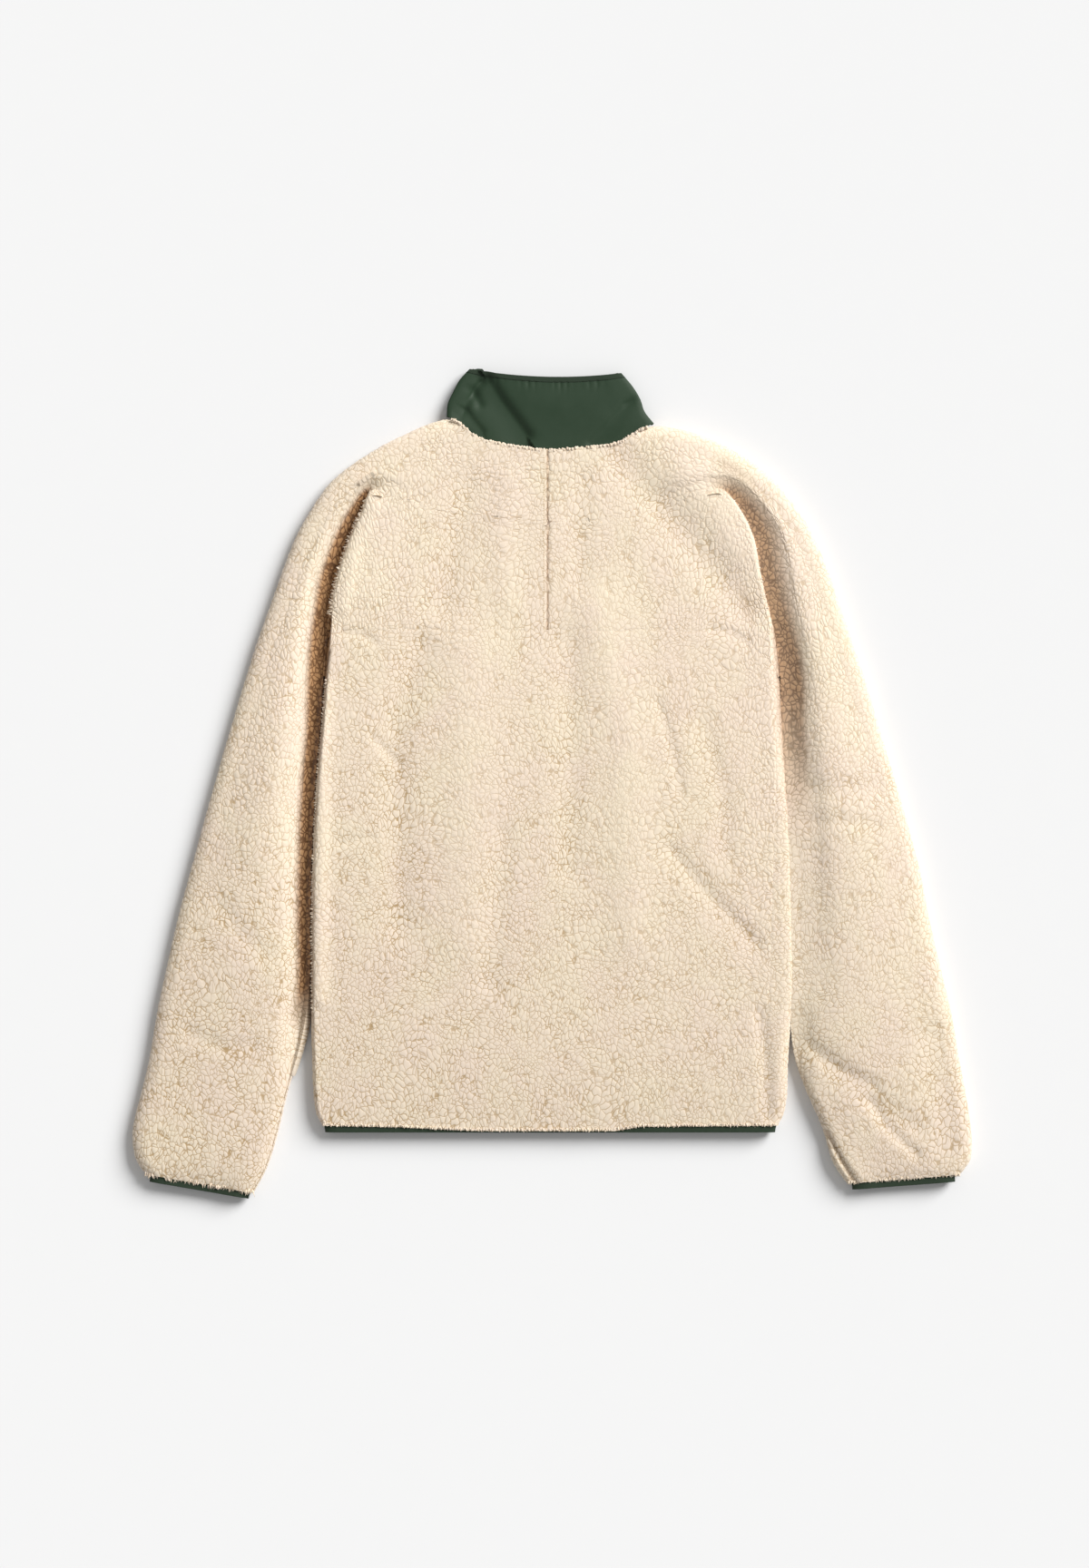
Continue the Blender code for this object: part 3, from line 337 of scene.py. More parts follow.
def sleeve_net_row(rows, step, ring):
    """Points across a sleeve: yoke, crease, top, outer roll and underside."""
    row = along(rows, step)
    outer, crease, inner, under = (np.array(row[i:i + 2]) for i in (0, 2, 4, 6))
    ahead = along(rows, min(step + 0.3, len(rows) - 1))
    behind = along(rows, max(step - 0.3, 0))
    normal = unit(np.array((behind.outer_y - ahead.outer_y, ahead.outer_x - behind.outer_x)))
    if normal @ (crease - outer) < 0:
        normal = -normal
    if step < 1:
        normal = unit(normal * step + np.array((0.0, -1.0)) * (1 - step))
    at_cuff = min(max((step - 21.5) / 2, 0.0), 1.0)
    normal = unit(normal * (1 - at_cuff) + unit(crease - outer) * at_cuff)
    floor = max(row.floor - CREASE_DEEPER[int(row.crease_x > 0)], CREASE_LOWEST)
    if row.crease_x > 0:
        floor = max(floor, float(right_edge_height(row.crease_y)) - 1.0) + 1.0
    flat = min(max((5.6 - step) / 1.4, 0.0), 1.0)
    flat = flat * flat * (3 - 2 * flat)
    floor += (BODY_TOP - floor) * flat
    points = []
    if not ring:
        line = np.array((ahead.crease_x - behind.crease_x, ahead.crease_y - behind.crease_y))
        square = unit(np.array((-line[1], line[0]))) * (1 if outer[0] < 0 else -1)
        turn = min(max(step - 5.0, 0.0), 1.0)
        toward = square
        if turn < 1:
            toward = unit(square * turn + unit(inner - crease) * (1 - turn))
        reach = min(LIP_REACH, 0.6 * max(0.5, (inner - crease) @ toward))
        lip = crease + toward * reach
        points += [laid(inner + (lip - inner) * share, BODY_TOP, 1.0) for share in YOKE_SHARES]
        points += [turned(crease, toward, reach, turn, floor, BODY_TOP)
                   for turn in reversed(TURNS)]
        points = [(*point[:3], max(point[3], flat)) for point in points]
    start = outer + normal * EDGE_REACH
    away = unit(start - crease)
    reach = min(SLEEVE_LIP_REACH * min(1, 0.35 + max(0, step - 4.6) / 3),
                0.68 * np.hypot(*(start - crease)))
    free = min(max((step - 19) / 2, 0.0), 1.0)
    reach = reach * (1 - free) + EDGE_REACH * free
    for turn in (0.0, *TURNS, 1.0):
        soft = sloped(crease, away, reach, turn, floor, BODY_TOP)
        round_over = turned(crease, away, reach, turn, floor, BODY_TOP)
        x, y, z, lifted = (a + (b - a) * free for a, b in zip(soft, round_over))
        points.append((x, y, z, max(lifted, flat)))
    lip = crease + away * reach
    full = row.crest * min(1.0, np.hypot(*(start - lip)) / 55)
    for share, crest in zip(SLEEVE_SHARES, CREST_SHARES):
        points.append(laid(lip + (start - lip) * share, BODY_TOP + full * crest, 1.0))
    for turn in (0.7, 0.36, 0.0):
        if step >= NECK_ROW:
            points.append(turned(outer, normal, EDGE_REACH, turn, EDGE_HEIGHT, BODY_TOP))
        else:
            inward = EDGE_REACH * (1 - math.cos(turn * math.pi / 2))
            points.append(laid(outer + normal * inward, BODY_TOP, 1.0))
    for turn in (0.5, 1.0):
        points.append(turned(outer, normal, UNDER_REACH, turn, EDGE_HEIGHT, 0.0))
    landing = outer + normal * UNDER_REACH
    target = crease + away * UNDER_REACH if ring else under
    points += [laid(landing + (target - landing) * share, 0.0, 0.0) for share in (0.5, 1.0)]
    if ring:
        points += [turned(crease, away, UNDER_REACH, turn, EDGE_HEIGHT, 0.0)
                   for turn in (0.5, 0.0)]
    return points


def gap_to_line(x, y, x0, y0, x1, y1):
    share = ((x - x0) * (x1 - x0) + (y - y0) * (y1 - y0)) / ((x1 - x0) ** 2 + (y1 - y0) ** 2)
    share = np.clip(share, 0, 1)
    return np.hypot(x - x0 - share * (x1 - x0), y - y0 - share * (y1 - y0))


def fold_lift(folds, x, y):
    """Height that the ridges and troughs add over the plan."""
    total = np.zeros_like(x)
    for fold in folds:
        near = np.minimum(gap_to_line(x, y, fold.x0, fold.y0, fold.x1, fold.y1),
                          gap_to_line(x, y, fold.x1, fold.y1, fold.x2, fold.y2))
        total += fold.lift * np.exp(-(near / fold.half_width) ** 2)
    return total


def folded(points):
    """Points with the folds put in, as x, y and z."""
    lift = fold_lift(FOLDS, points[..., 0], points[..., 1])
    points[..., 2] += lift * points[..., 3]
    return points[..., :3]


def dip_edge(points, depth=SEAM_DIP, width=SEAM_DIP_WIDTH):
    """Turns the cloth down into the seam along the first column of a strip."""
    run = np.linalg.norm(points - points[:, :1], axis=2)
    points[..., 2] -= depth * np.exp(-(run / width) ** 2)


HEM_TOP = 14.2
HEM_Y = -341.5
HEM_DROP_LENGTH = 50.0
UNDERARM_Y = 104.0
SEAM_GAP = 0.5
SIDE_SEAM_INSET = 25.0         # how far the right front comes round to the back at the hem
BODY_ROLL = (4.6, 12.0)        # at the left edge and at the right
SIDE_Y = np.array((160, 110, 60, 12, -40, -90, -140, -192, -240, -280, -312, -330, -341.5, -350))
SIDE_LEFT = np.array((-220, -226, -230, -234.5, -237.6, -239.7, -240.5, -240.5, -240.5, -239.5,
                      -238, -235, -229.5, -228))
SIDE_RIGHT = np.array((221, 225.5, 228, 231, 233.8, 235.7, 237, 238, 236.5, 234.5, 233.5, 230,
                       224.5, 223))


def side_edges(y):
    """The body's left and right edge at heights up the jacket, smoothed through the table."""
    steps = np.linspace(0, len(SIDE_Y) - 1, 200)
    fine = spline_weights(len(SIDE_Y), steps) @ np.stack((SIDE_Y, SIDE_LEFT, SIDE_RIGHT), 1)
    fine = fine[::-1]
    return np.interp(y, fine[:, 0], fine[:, 1]), np.interp(y, fine[:, 0], fine[:, 2])


def right_edge_height(y):
    """The right side's outermost line lies higher where the sleeve is pushed up to it."""
    upper, lower = np.clip((30 - y) / 60, 0, 1), np.clip((y + 265) / 50, 0, 1)
    return EDGE_HEIGHT + 5.8 * upper * lower


def side_seam_inset(y):
    share = np.clip((UNDERARM_Y - y) / (UNDERARM_Y - HEM_Y), 0, 1)
    return 1.5 + (SIDE_SEAM_INSET - 1.5) * np.sin(share * math.pi / 2)


def hem_overhang(x):
    """How far the pile hangs over the hem's tape, which shows only towards the sides."""
    return np.interp(x, (-226, -150, -72, 62, 88, 224), (0.0, 1.6, 5.2, 5.2, 0.9, 0.0))


def body_height(x, y, left, right):
    """Height of the upper cloth of the body, rolled down at its side edges."""
    top = BODY_TOP + fold_lift(FOLDS, x, y)
    top -= (BODY_TOP - HEM_TOP) * np.exp(-np.maximum(y - HEM_Y, 0) / HEM_DROP_LENGTH)
    near = np.clip(np.minimum((x - left) / BODY_ROLL[0], (right - x) / BODY_ROLL[1]), 0, 1)
    low = np.where(right - x < x - left, right_edge_height(y), EDGE_HEIGHT)
    return low + (top - low) * np.sin(np.arccos(1 - near))


def wandered(points):
    """Cloth points with the centre-back and yoke seams wandering a little, as the pile lies."""
    x, y = points[..., 0].copy(), points[..., 1].copy()
    drift = 0.8 * np.sin(y / 9.5) + 0.45 * np.sin(y / 3.1 + 1)
    points[..., 0] += drift * np.exp(-((x + 5) / 5) ** 2) * np.clip((y - 152) / 8, 0, 1)
    drift = 0.9 * np.sin(x / 12.5) + 0.6 * np.sin(x / 4.7 + 2)
    points[..., 1] += drift * np.exp(-((y - 151.5) / 6) ** 2) * np.clip((205 - abs(x)) / 10, 0, 1)
    return points


def add_grid(mesh, points):
    """A grid of faces with its corners on points, rows by columns by x, y, z."""
    rows, columns = points.shape[:2]
    grid = bmesh.ops.create_grid(mesh, x_segments=columns - 1, y_segments=rows - 1, size=1.0)
    places = ((points + PLAN_SHIFT) * MM).reshape(-1, 3)
    for vert, place in zip(grid["verts"], places):
        vert.co = place


def pile_field(tree, place):
    """The curled pile at a place of the resting cloth: its height, the partings that open
    here and there between nubs of 4 to 7 mm, and the finer partings inside them."""
    lie = node(tree, "ShaderNodeTexNoise", {"Vector": place, "Scale": 15.0, "Detail": 1.0})
    laid_over = node(tree, "ShaderNodeVectorMath", {0: lie.outputs["Color"],
                                                    1: (0.03, 0.03, 0.0), 2: place},
                     operation="MULTIPLY_ADD")
    wander = node(tree, "ShaderNodeTexNoise", {"Vector": place, "Scale": 120.0, "Detail": 1.0})
    shifted = node(tree, "ShaderNodeVectorMath", {0: wander.outputs["Color"],
                                                  1: (0.0055, 0.0055, 0.0055),
                                                  2: laid_over.outputs[0]},
                   operation="MULTIPLY_ADD")
    nubs = node(tree, "ShaderNodeTexVoronoi", {"Vector": shifted.outputs[0], "Scale": 235.0},
                feature="DISTANCE_TO_EDGE")
    curls = node(tree, "ShaderNodeTexVoronoi", {"Vector": shifted.outputs[0],
                                                "Scale": 520.0}, feature="DISTANCE_TO_EDGE")
    dome = node(tree, "ShaderNodeMapRange", {"Value": nubs.outputs["Distance"],
                                             "From Max": 0.2},
                interpolation_type="SMOOTHSTEP")
    knots = node(tree, "ShaderNodeMapRange", {"Value": curls.outputs["Distance"],
                                              "From Max": 0.45, "To Max": 0.16},
                 interpolation_type="SMOOTHSTEP")
    where = node(tree, "ShaderNodeTexNoise", {"Vector": place, "Scale": 55.0, "Detail": 3.0})
    opens = node(tree, "ShaderNodeMapRange", {"Value": where.outputs["Fac"], "From Min": 0.36,
                                              "From Max": 0.62, "To Min": 0.6})
    closed = node(tree, "ShaderNodeMix", {"Factor": opens.outputs[0], "A": 1.0,
                                          "B": dome.outputs[0]})
    height = node(tree, "ShaderNodeMath", {0: closed.outputs["Result"], 1: 0.84,
                                           2: knots.outputs[0]}, operation="MULTIPLY_ADD")
    crack = node(tree, "ShaderNodeMapRange", {"Value": nubs.outputs["Distance"],
                                              "From Max": 0.105, "To Min": 1.0, "To Max": 0.0},
                 interpolation_type="SMOOTHSTEP")
    fine_crack = node(tree, "ShaderNodeMapRange", {"Value": curls.outputs["Distance"],
                                                   "From Max": 0.12, "To Min": 1.0,
                                                   "To Max": 0.0},
                      interpolation_type="SMOOTHSTEP")
    parting = node(tree, "ShaderNodeMath", {0: crack.outputs[0], 1: opens.outputs[0]},
                   operation="MULTIPLY")
    return height.outputs[0], parting.outputs[0], fine_crack.outputs[0]


def make_pile_modifier():
    """Geometry nodes that stand the pile on the cloth's outer side."""
    tree = bpy.data.node_groups.new("standing_pile", "GeometryNodeTree")
    tree.interface.new_socket("Geometry", in_out="INPUT", socket_type="NodeSocketGeometry")
    tree.interface.new_socket("Geometry", in_out="OUTPUT", socket_type="NodeSocketGeometry")
    source = node(tree, "NodeGroupInput")
    rest = node(tree, "GeometryNodeInputNamedAttribute", {"Name": "rest"},
                data_type="FLOAT_VECTOR").outputs["Attribute"]
    nap = node(tree, "GeometryNodeInputNamedAttribute", {"Name": "nap"},
               data_type="FLOAT").outputs["Attribute"]
    backing = node(tree, "GeometryNodeInputNamedAttribute", {"Name": "backing"},
                   data_type="FLOAT").outputs["Attribute"]
    height = pile_field(tree, rest)[0]
    lumps = node(tree, "ShaderNodeTexNoise", {"Vector": rest, "Scale": 26.0, "Detail": 2.0})
    rise = node(tree, "ShaderNodeMath", {0: height, 1: 2 * PILE_HEIGHT * MM,
                                         2: -1.1 * PILE_HEIGHT * MM},
                operation="MULTIPLY_ADD")
    lump = node(tree, "ShaderNodeMath", {0: lumps.outputs["Fac"], 1: LUMP_HEIGHT * MM,
                                         2: -0.5 * LUMP_HEIGHT * MM},
                operation="MULTIPLY_ADD")
    total = node(tree, "ShaderNodeMath", {0: rise.outputs[0], 1: lump.outputs[0]})
    kept = node(tree, "ShaderNodeMath", {0: nap, 1: backing}, operation="SUBTRACT",
                use_clamp=True)
    scaled = node(tree, "ShaderNodeMath", {0: total.outputs[0], 1: kept.outputs[0]},
                  operation="MULTIPLY")
    offset = node(tree, "ShaderNodeVectorMath", {
        0: node(tree, "GeometryNodeInputNormal").outputs["Normal"],
        "Scale": scaled.outputs[0]}, operation="SCALE")
    moved = node(tree, "ShaderNodeVectorMath", {
        0: node(tree, "GeometryNodeInputPosition").outputs[0], 1: offset.outputs[0]})
    above = node(tree, "ShaderNodeVectorMath", {0: moved.outputs[0], 1: (-9.0, -9.0, 0.0)},
                 operation="MAXIMUM")
    placed = node(tree, "GeometryNodeSetPosition", {"Geometry": source.outputs[0],
                                                    "Position": above.outputs[0]})
    node(tree, "NodeGroupOutput", {0: placed.outputs[0]})
    return tree


def make_fleece_look():
    """Shader group: colour and fine height of the pile at a place of the resting cloth.

    Open tells how far the partings show in painted shade, and Seam how far the dark brown of seams
    and of painted crease shade does."""
    tree = bpy.data.node_groups.new("fleece_look", "ShaderNodeTree")
    tree.interface.new_socket("Place", in_out="INPUT", socket_type="NodeSocketVector")
    tree.interface.new_socket("Open", in_out="INPUT", socket_type="NodeSocketFloat")
    tree.interface.new_socket("Seam", in_out="INPUT", socket_type="NodeSocketFloat")
    tree.interface.new_socket("Colour", in_out="OUTPUT", socket_type="NodeSocketColor")
    tree.interface.new_socket("Height", in_out="OUTPUT", socket_type="NodeSocketFloat")
    source = node(tree, "NodeGroupInput")
    place = source.outputs["Place"]
    height, crack, fine_crack = pile_field(tree, place)

    patches = node(tree, "ShaderNodeTexNoise", {"Vector": place, "Scale": 22.0, "Detail": 3.0})
    mixed = node(tree, "ShaderNodeMapRange", {"Value": patches.outputs["Fac"],
                                              "From Min": 0.35, "From Max": 0.65})
    warmth = node(tree, "ShaderNodeMix", {"Factor": mixed.outputs[0], "A": CREAM_ROSE,
                                          "B": CREAM_YELLOW}, data_type="RGBA")
    # Painted shade in the pile: the colour goes darker in the partings between nubs and in the
    # finer cracks inside them
    parted = node(tree, "ShaderNodeMath", {0: crack, 1: source.outputs["Open"]},
                  operation="MULTIPLY", use_clamp=True)
    opened = node(tree, "ShaderNodeMix", {"Factor": parted.outputs[0],
                                          "A": warmth.outputs["Result"], "B": CREAM_PARTING_SHADE},
                  data_type="RGBA")
    faint = node(tree, "ShaderNodeMath", {0: fine_crack, 1: 0.16}, operation="MULTIPLY")
    finer = node(tree, "ShaderNodeMix", {"Factor": faint.outputs[0],
                                         "A": opened.outputs["Result"], "B": CREAM_HOLLOW_SHADE},
                 data_type="RGBA")
    fibre = node(tree, "ShaderNodeTexNoise", {"Vector": place, "Scale": 1500.0, "Detail": 2.0})
    shade = node(tree, "ShaderNodeMapRange", {"Value": fibre.outputs["Fac"], "To Min": 0.94,
                                              "To Max": 1.05})
    haired = node(tree, "ShaderNodeVectorMath", {0: finer.outputs["Result"],
                                                 "Scale": shade.outputs[0]},
                  operation="SCALE")
    # Dark brown of the seams, also the painted shade of the creases and the cuff's layered edge;
    # darker low in the pile as painted shade, lighter at the nubs' tips
    tips = node(tree, "ShaderNodeMapRange", {"Value": height, "From Min": 0.35,
                                             "From Max": 1.0})
    base = node(tree, "ShaderNodeMix", {"Factor": tips.outputs[0], "A": SEAM_AND_SHADE_BROWN,
                                        "B": SEAM_AND_SHADE_NUBS}, data_type="RGBA")
    seamed = node(tree, "ShaderNodeMix", {"Factor": source.outputs["Seam"],
                                          "A": haired.outputs[0],
                                          "B": base.outputs["Result"]}, data_type="RGBA")
    hair = node(tree, "ShaderNodeMath", {0: fibre.outputs["Fac"], 1: 0.2, 2: height},
                operation="MULTIPLY_ADD")
    node(tree, "NodeGroupOutput", {"Colour": seamed.outputs["Result"],
                                   "Height": hair.outputs[0]})
    return tree


PILE_HEIGHT = 0.5
LUMP_HEIGHT = 0.9
CREAM_ROSE = (0.780, 0.660, 0.555, 1.0)
CREAM_YELLOW = (0.788, 0.688, 0.548, 1.0)
# Painted shade of the cracks inside the nubs and of the partings between them
CREAM_HOLLOW_SHADE = (0.62, 0.50, 0.34, 1.0)
CREAM_PARTING_SHADE = (0.44, 0.305, 0.16, 1.0)
# Dark brown of the centre-back seam, also used as painted shade in the creases beside the body
SEAM_AND_SHADE_BROWN = (0.150, 0.068, 0.024, 1.0)
SEAM_AND_SHADE_NUBS = (0.46, 0.255, 0.115, 1.0)
fleece, tree, shader = new_material("fleece", 0.92, Sheen_Weight=0.25, Sheen_Roughness=0.6,
                                    Specular_IOR_Level=0.2)
look = node(tree, "ShaderNodeGroup", {}, node_tree=make_fleece_look())
tree.links.new(node(tree, "ShaderNodeAttribute", attribute_name="rest").outputs["Vector"],
               look.inputs["Place"])
# Attributes bring in the partings with their painted shade, and the dark brown of seams and of
# painted crease shade
for attribute, socket in (("open", "Open"), ("seam", "Seam")):
    tree.links.new(node(tree, "ShaderNodeAttribute", attribute_name=attribute).outputs["Fac"],
                   look.inputs[socket])
# The colour is scaled by the shade attribute, a painted falloff of the light towards the lower
# left
shaded = node(tree, "ShaderNodeVectorMath", {
    0: look.outputs["Colour"],
    "Scale": node(tree, "ShaderNodeAttribute", attribute_name="shade").outputs["Fac"]},
              operation="SCALE")
tree.links.new(shaded.outputs[0], shader.inputs["Base Color"])
bump = node(tree, "ShaderNodeBump", {"Height": look.outputs["Height"], "Strength": 0.2,
                                     "Distance": 0.001})
tree.links.new(bump.outputs[0], shader.inputs["Normal"])
standing_pile = make_pile_modifier()


def face_outward(mesh, level, faces_up=True):
    """Turns a sewn piece's faces outward: up above a level, or else down below it."""
    bmesh.ops.recalc_face_normals(mesh, faces=mesh.faces)
    upward = sum(face.normal.z * face.calc_area() for face in mesh.faces
                 if (face.calc_center_median().z > level * MM) == faces_up)
    if (upward > 0) != faces_up:
        bmesh.ops.reverse_faces(mesh, faces=mesh.faces)


FLEECE_MIDDLE = 11.0           # between the upper cloth and the lower
MESH_JOIN = 0.03               # points nearer than this are one
RAW_EDGE_Y = -335.0            # below this the edge is the hem or a cuff, where pile stands
NECK_EDGE_Y, NECK_EDGE_Z = 325.0, 12.0
FLAT_NAP, EDGE_NAP = 0.5, 0.3  # share of the pile that stands, and what a rolled edge adds
WALL_GATHERS = ((-225, 124), (223, 124))       # underarms, where the backing is cut thin
NAP_GATHERS = ((-226, 124), (222, 120))
CREASE_HEADS = ((-188, 303), (180, 303))
STITCHED_BAND = (-9.5, 3.6)    # middle and half width, left of the centre-back seam
BACKING_KEPT = 0.54

# Painted shade, dark brown, in the creases beside the body where the light hardly reaches: how
# strongly, down to where and how gradually, and up to which height on the sleeve's side and the
# body's.
Crease = namedtuple("Crease", "rows strength lowest fade height climb lip_height soft")
CREASE_SHADES = (Crease(LEFT_SLEEVE, 1.0, -250, 45, 12.4, 0.0045, 16.6, 3.6),
           Crease(RIGHT_SLEEVE, 0.84, -80, 170, 19.0, 0.0, 16.4, 5.6))


def seam_and_crease_shade(x, y, z, seams):
    """How far the dark brown shows: painted shade in the creases, and along the lines given."""
    shown = np.zeros(len(x))
    for crease in CREASE_SHADES:
        line = crease.rows[4:21, 2:4]
        near = np.min([gap_to_line(x, y, *start, *end)
                       for start, end in zip(line[:-1], line[1:])], axis=0)
        crease_x = np.interp(y, line[::-1, 1], line[::-1, 0])
        top = np.where(np.abs(x) > np.abs(crease_x) - 0.3, crease.height + y * crease.climb,
                       crease.lip_height)
        depth = np.clip((top - z) / crease.soft, 0, 1) * np.clip((30 - near) / 8, 0, 1)
        depth *= (z > 2) * (x * line[0, 0] > 0)
        fade = np.clip((y - crease.lowest) / crease.fade, 0, 1)
        shown = np.maximum(shown, crease.strength * depth * fade)
    for depth, width, *line in seams:
        near = gap_to_line(x, y, *line)
        shown = np.maximum(shown, depth * np.exp(-(near / width) ** 2) * (z > 5))
    return shown


def nap_left(x, y, z, at_seam):
    """Share of the pile that stands: none in a seam, and less where the cloth is pressed."""
    nap = np.where(at_seam, 0.0, FLAT_NAP + EDGE_NAP * np.clip((15 - z) / 4, 0, 1))
    for corner_x, corner_y in NAP_GATHERS:
        nap *= 1 - np.exp(-(np.hypot(x - corner_x, (y - corner_y) * 0.6) / 9) ** 4)
    for top_x, top_y in CREASE_HEADS:
        nap *= 1 - 0.6 * np.exp(-(np.hypot(x - top_x, y - top_y) / 14) ** 4)
    middle, half_width = STITCHED_BAND
    return nap * (1 - 0.8 * np.exp(-((x - middle) / half_width) ** 4) * (y > 152))


def back_with_wall(thing, x, y):
    """Modifiers that back the outer surface with a wall, and thin out the wall's mesh."""
    whole = thing.vertex_groups.new(name="whole_wall")
    whole.add(range(len(x)), 1.0, "REPLACE")
    for corner_x, corner_y in WALL_GATHERS:
        gathered = np.hypot(x - corner_x, (y - corner_y) * 0.5) / 16
        for index in np.nonzero(gathered < 1.6)[0]:
            share = 1 - 0.85 * math.exp(-gathered[index] ** 4)
            whole.add([int(index)], share, "REPLACE")
    thing.vertex_groups.new(name="backing")
    wall = thing.modifiers.new("wall", "SOLIDIFY")
    wall.thickness = FLEECE_WALL * MM
    wall.offset = -1
    wall.vertex_group = "whole_wall"
    wall.shell_vertex_group = "backing"
    thinner = thing.modifiers.new("thinner_backing", "DECIMATE")
    thinner.vertex_group = "backing"
    thinner.ratio = BACKING_KEPT


def set_values(data, values):
    """Puts attributes on a mesh's points, which the fleece material reads."""
    for attribute, numbers in values.items():
        data.attributes.new(attribute, "FLOAT", "POINT").data.foreach_set("value", numbers)


def sew_fleece(name, grids, stretch, faces_up=True, seams=()):
    """One fleece piece: its grids joined, backed with a wall, and the pile stood on it."""
    mesh = bmesh.new()
    for points in grids:
        add_grid(mesh, wandered(points))
    bmesh.ops.remove_doubles(mesh, verts=mesh.verts, dist=MESH_JOIN * MM)
    bmesh.ops.dissolve_degenerate(mesh, edges=mesh.edges, dist=0.02 * MM)
    face_outward(mesh, FLEECE_MIDDLE, faces_up)
    lowest_seam = (PLAN_SHIFT[1] + RAW_EDGE_Y) * MM
    at_seam = np.array([vert.is_boundary and vert.co.y > lowest_seam
                        and not (vert.co.y > NECK_EDGE_Y * MM and vert.co.z > NECK_EDGE_Z * MM)
                        for vert in mesh.verts])
    thing = show(name, mesh, fleece)
    data = thing.data
    places = np.empty(len(data.vertices) * 3)
    data.vertices.foreach_get("co", places)
    combed = (places.reshape(-1, 3) * (1.0, stretch, 1.0)).ravel()
    data.attributes.new("rest", "FLOAT_VECTOR", "POINT").data.foreach_set("vector", combed)
    x, y, z = (places.reshape(-1, 3) / MM - PLAN_SHIFT).T
    # The partings show more, with their painted shade, in the folds' troughs and towards the
    # bottom and the left: painted shade of the folds and of the light's falloff
    opened = 0.82 - 0.17 * fold_lift(FOLDS, x, y) - x / 2200 - y / 2000
    set_values(data, {"nap": nap_left(x, y, z, at_seam),
                      "open": np.clip(opened, 0.35, 1.5),
                      # Painted light falloff: the colour darker towards the bottom and the left,
                      # lighter at the top right
                      "shade": np.clip(0.995 + y / 4200 + x / 14000, 0.92, 1.03),
                      "seam": seam_and_crease_shade(x, y, z, seams)})
    data.shade_smooth()

    back_with_wall(thing, x, y)
    pile = thing.modifiers.new("pile", "NODES")
    pile.node_group = standing_pile
    graph = bpy.context.evaluated_depsgraph_get()
    made = bpy.data.meshes.new_from_object(thing.evaluated_get(graph))
    made.name = name
    made.set_sharp_from_angle(angle=math.radians(75))
    thing.modifiers.clear()
    thing.data = made
    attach(thing, "jacket")
    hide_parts(name)
    return thing


YOKE_CELLS = [13] * 5
CREASE_CELLS = [4] * 3
TOP_CELLS = [11] * 5 + [5] * 3
TUBE_UNDER_CELLS = [3, 3, 8, 8, 3, 3]
UNDER_CELLS = [3, 3, 7, 7]
CENTRE_SEAM = (0.8, 1.0, -5.0, 332, -5.0, 152)
# Painted shadow along the right cuff, in the gap where the upper layer's edge lies over the lower
CUFF_EDGE_SHADOW = (0.5, 1.3, 273, -348, 299, -396)    # the lower layer shows beside it


def sleeve_piece(name, rows):
    first = even_steps(rows, 0, NECK_ROW, PILE_SPACING)
    shoulder = even_steps(rows, NECK_ROW, UNDERARM_ROW, PILE_SPACING)
    arm = even_steps(rows, UNDERARM_ROW, len(rows) - 1, PILE_SPACING)
    half_rows = np.arange(0, UNDERARM_ROW + 0.1, 0.5)
    arm_rows = np.arange(UNDERARM_ROW, len(rows) - 0.9, 0.5)
    open_net = np.array([sleeve_net_row(rows, step, False) for step in half_rows])
    ring_net = np.array([sleeve_net_row(rows, step, True) for step in arm_rows])
    yoke_columns = len(YOKE_SHARES) + len(TURNS)
    top_columns = yoke_columns + 1 + len(TURNS) + 1 + len(SLEEVE_SHARES) + 3

    cells = YOKE_CELLS + CREASE_CELLS + CREASE_CELLS + TOP_CELLS
    strip = np.concatenate((first, shoulder[1:]))
    yoke = fine_points(open_net[:, :top_columns], strip * 2, column_steps(cells))
    under_net = open_net[2 * NECK_ROW:, top_columns - 1:]
    under = fine_points(under_net, (shoulder - NECK_ROW) * 2, column_steps(UNDER_CELLS))
    tube_cells = CREASE_CELLS + TOP_CELLS + TUBE_UNDER_CELLS
    tube = fine_points(ring_net, (arm - UNDERARM_ROW) * 2, column_steps(tube_cells))
    shared = sum(CREASE_CELLS + TOP_CELLS) + 1
    under[:, 0] = yoke[len(first) - 1:, -1]
    tube[0, :shared] = yoke[-1, -shared:]
    tube[:, -1] = tube[:, 0]

    reach = np.linalg.norm(tube[:, :, :2] - tube[-1:, :, :2], axis=2)
    tube[..., 2] -= CUFF_DROP * np.exp(-reach / CUFF_DROP_LENGTH) * tube[..., 3]
    yoke, under, tube = folded(yoke), folded(under), folded(tube)
    body_columns = sum(YOKE_CELLS + CREASE_CELLS)
    body = yoke[:, :body_columns]
    near_underarm = np.clip((strip[:, None] - 9.5) / 1.5, 0, 1)
    left, right = side_edges(body[..., 1])
    roll = body_height(body[..., 0], body[..., 1], left, right) + 12 * (1 - near_underarm)
    body[..., 2] = np.minimum(body[..., 2], roll)
    dip_edge(yoke)
    dip_edge(yoke.transpose(1, 0, 2), CENTRE_SEAM_DIP)
    return sew_fleece(name, (yoke, under, tube), 0.74, seams=[CENTRE_SEAM, CUFF_EDGE_SHADOW])


sleeve_left = sleeve_piece("sleeve_left", LEFT_SLEEVE)
sleeve_right = sleeve_piece("sleeve_right", RIGHT_SLEEVE)

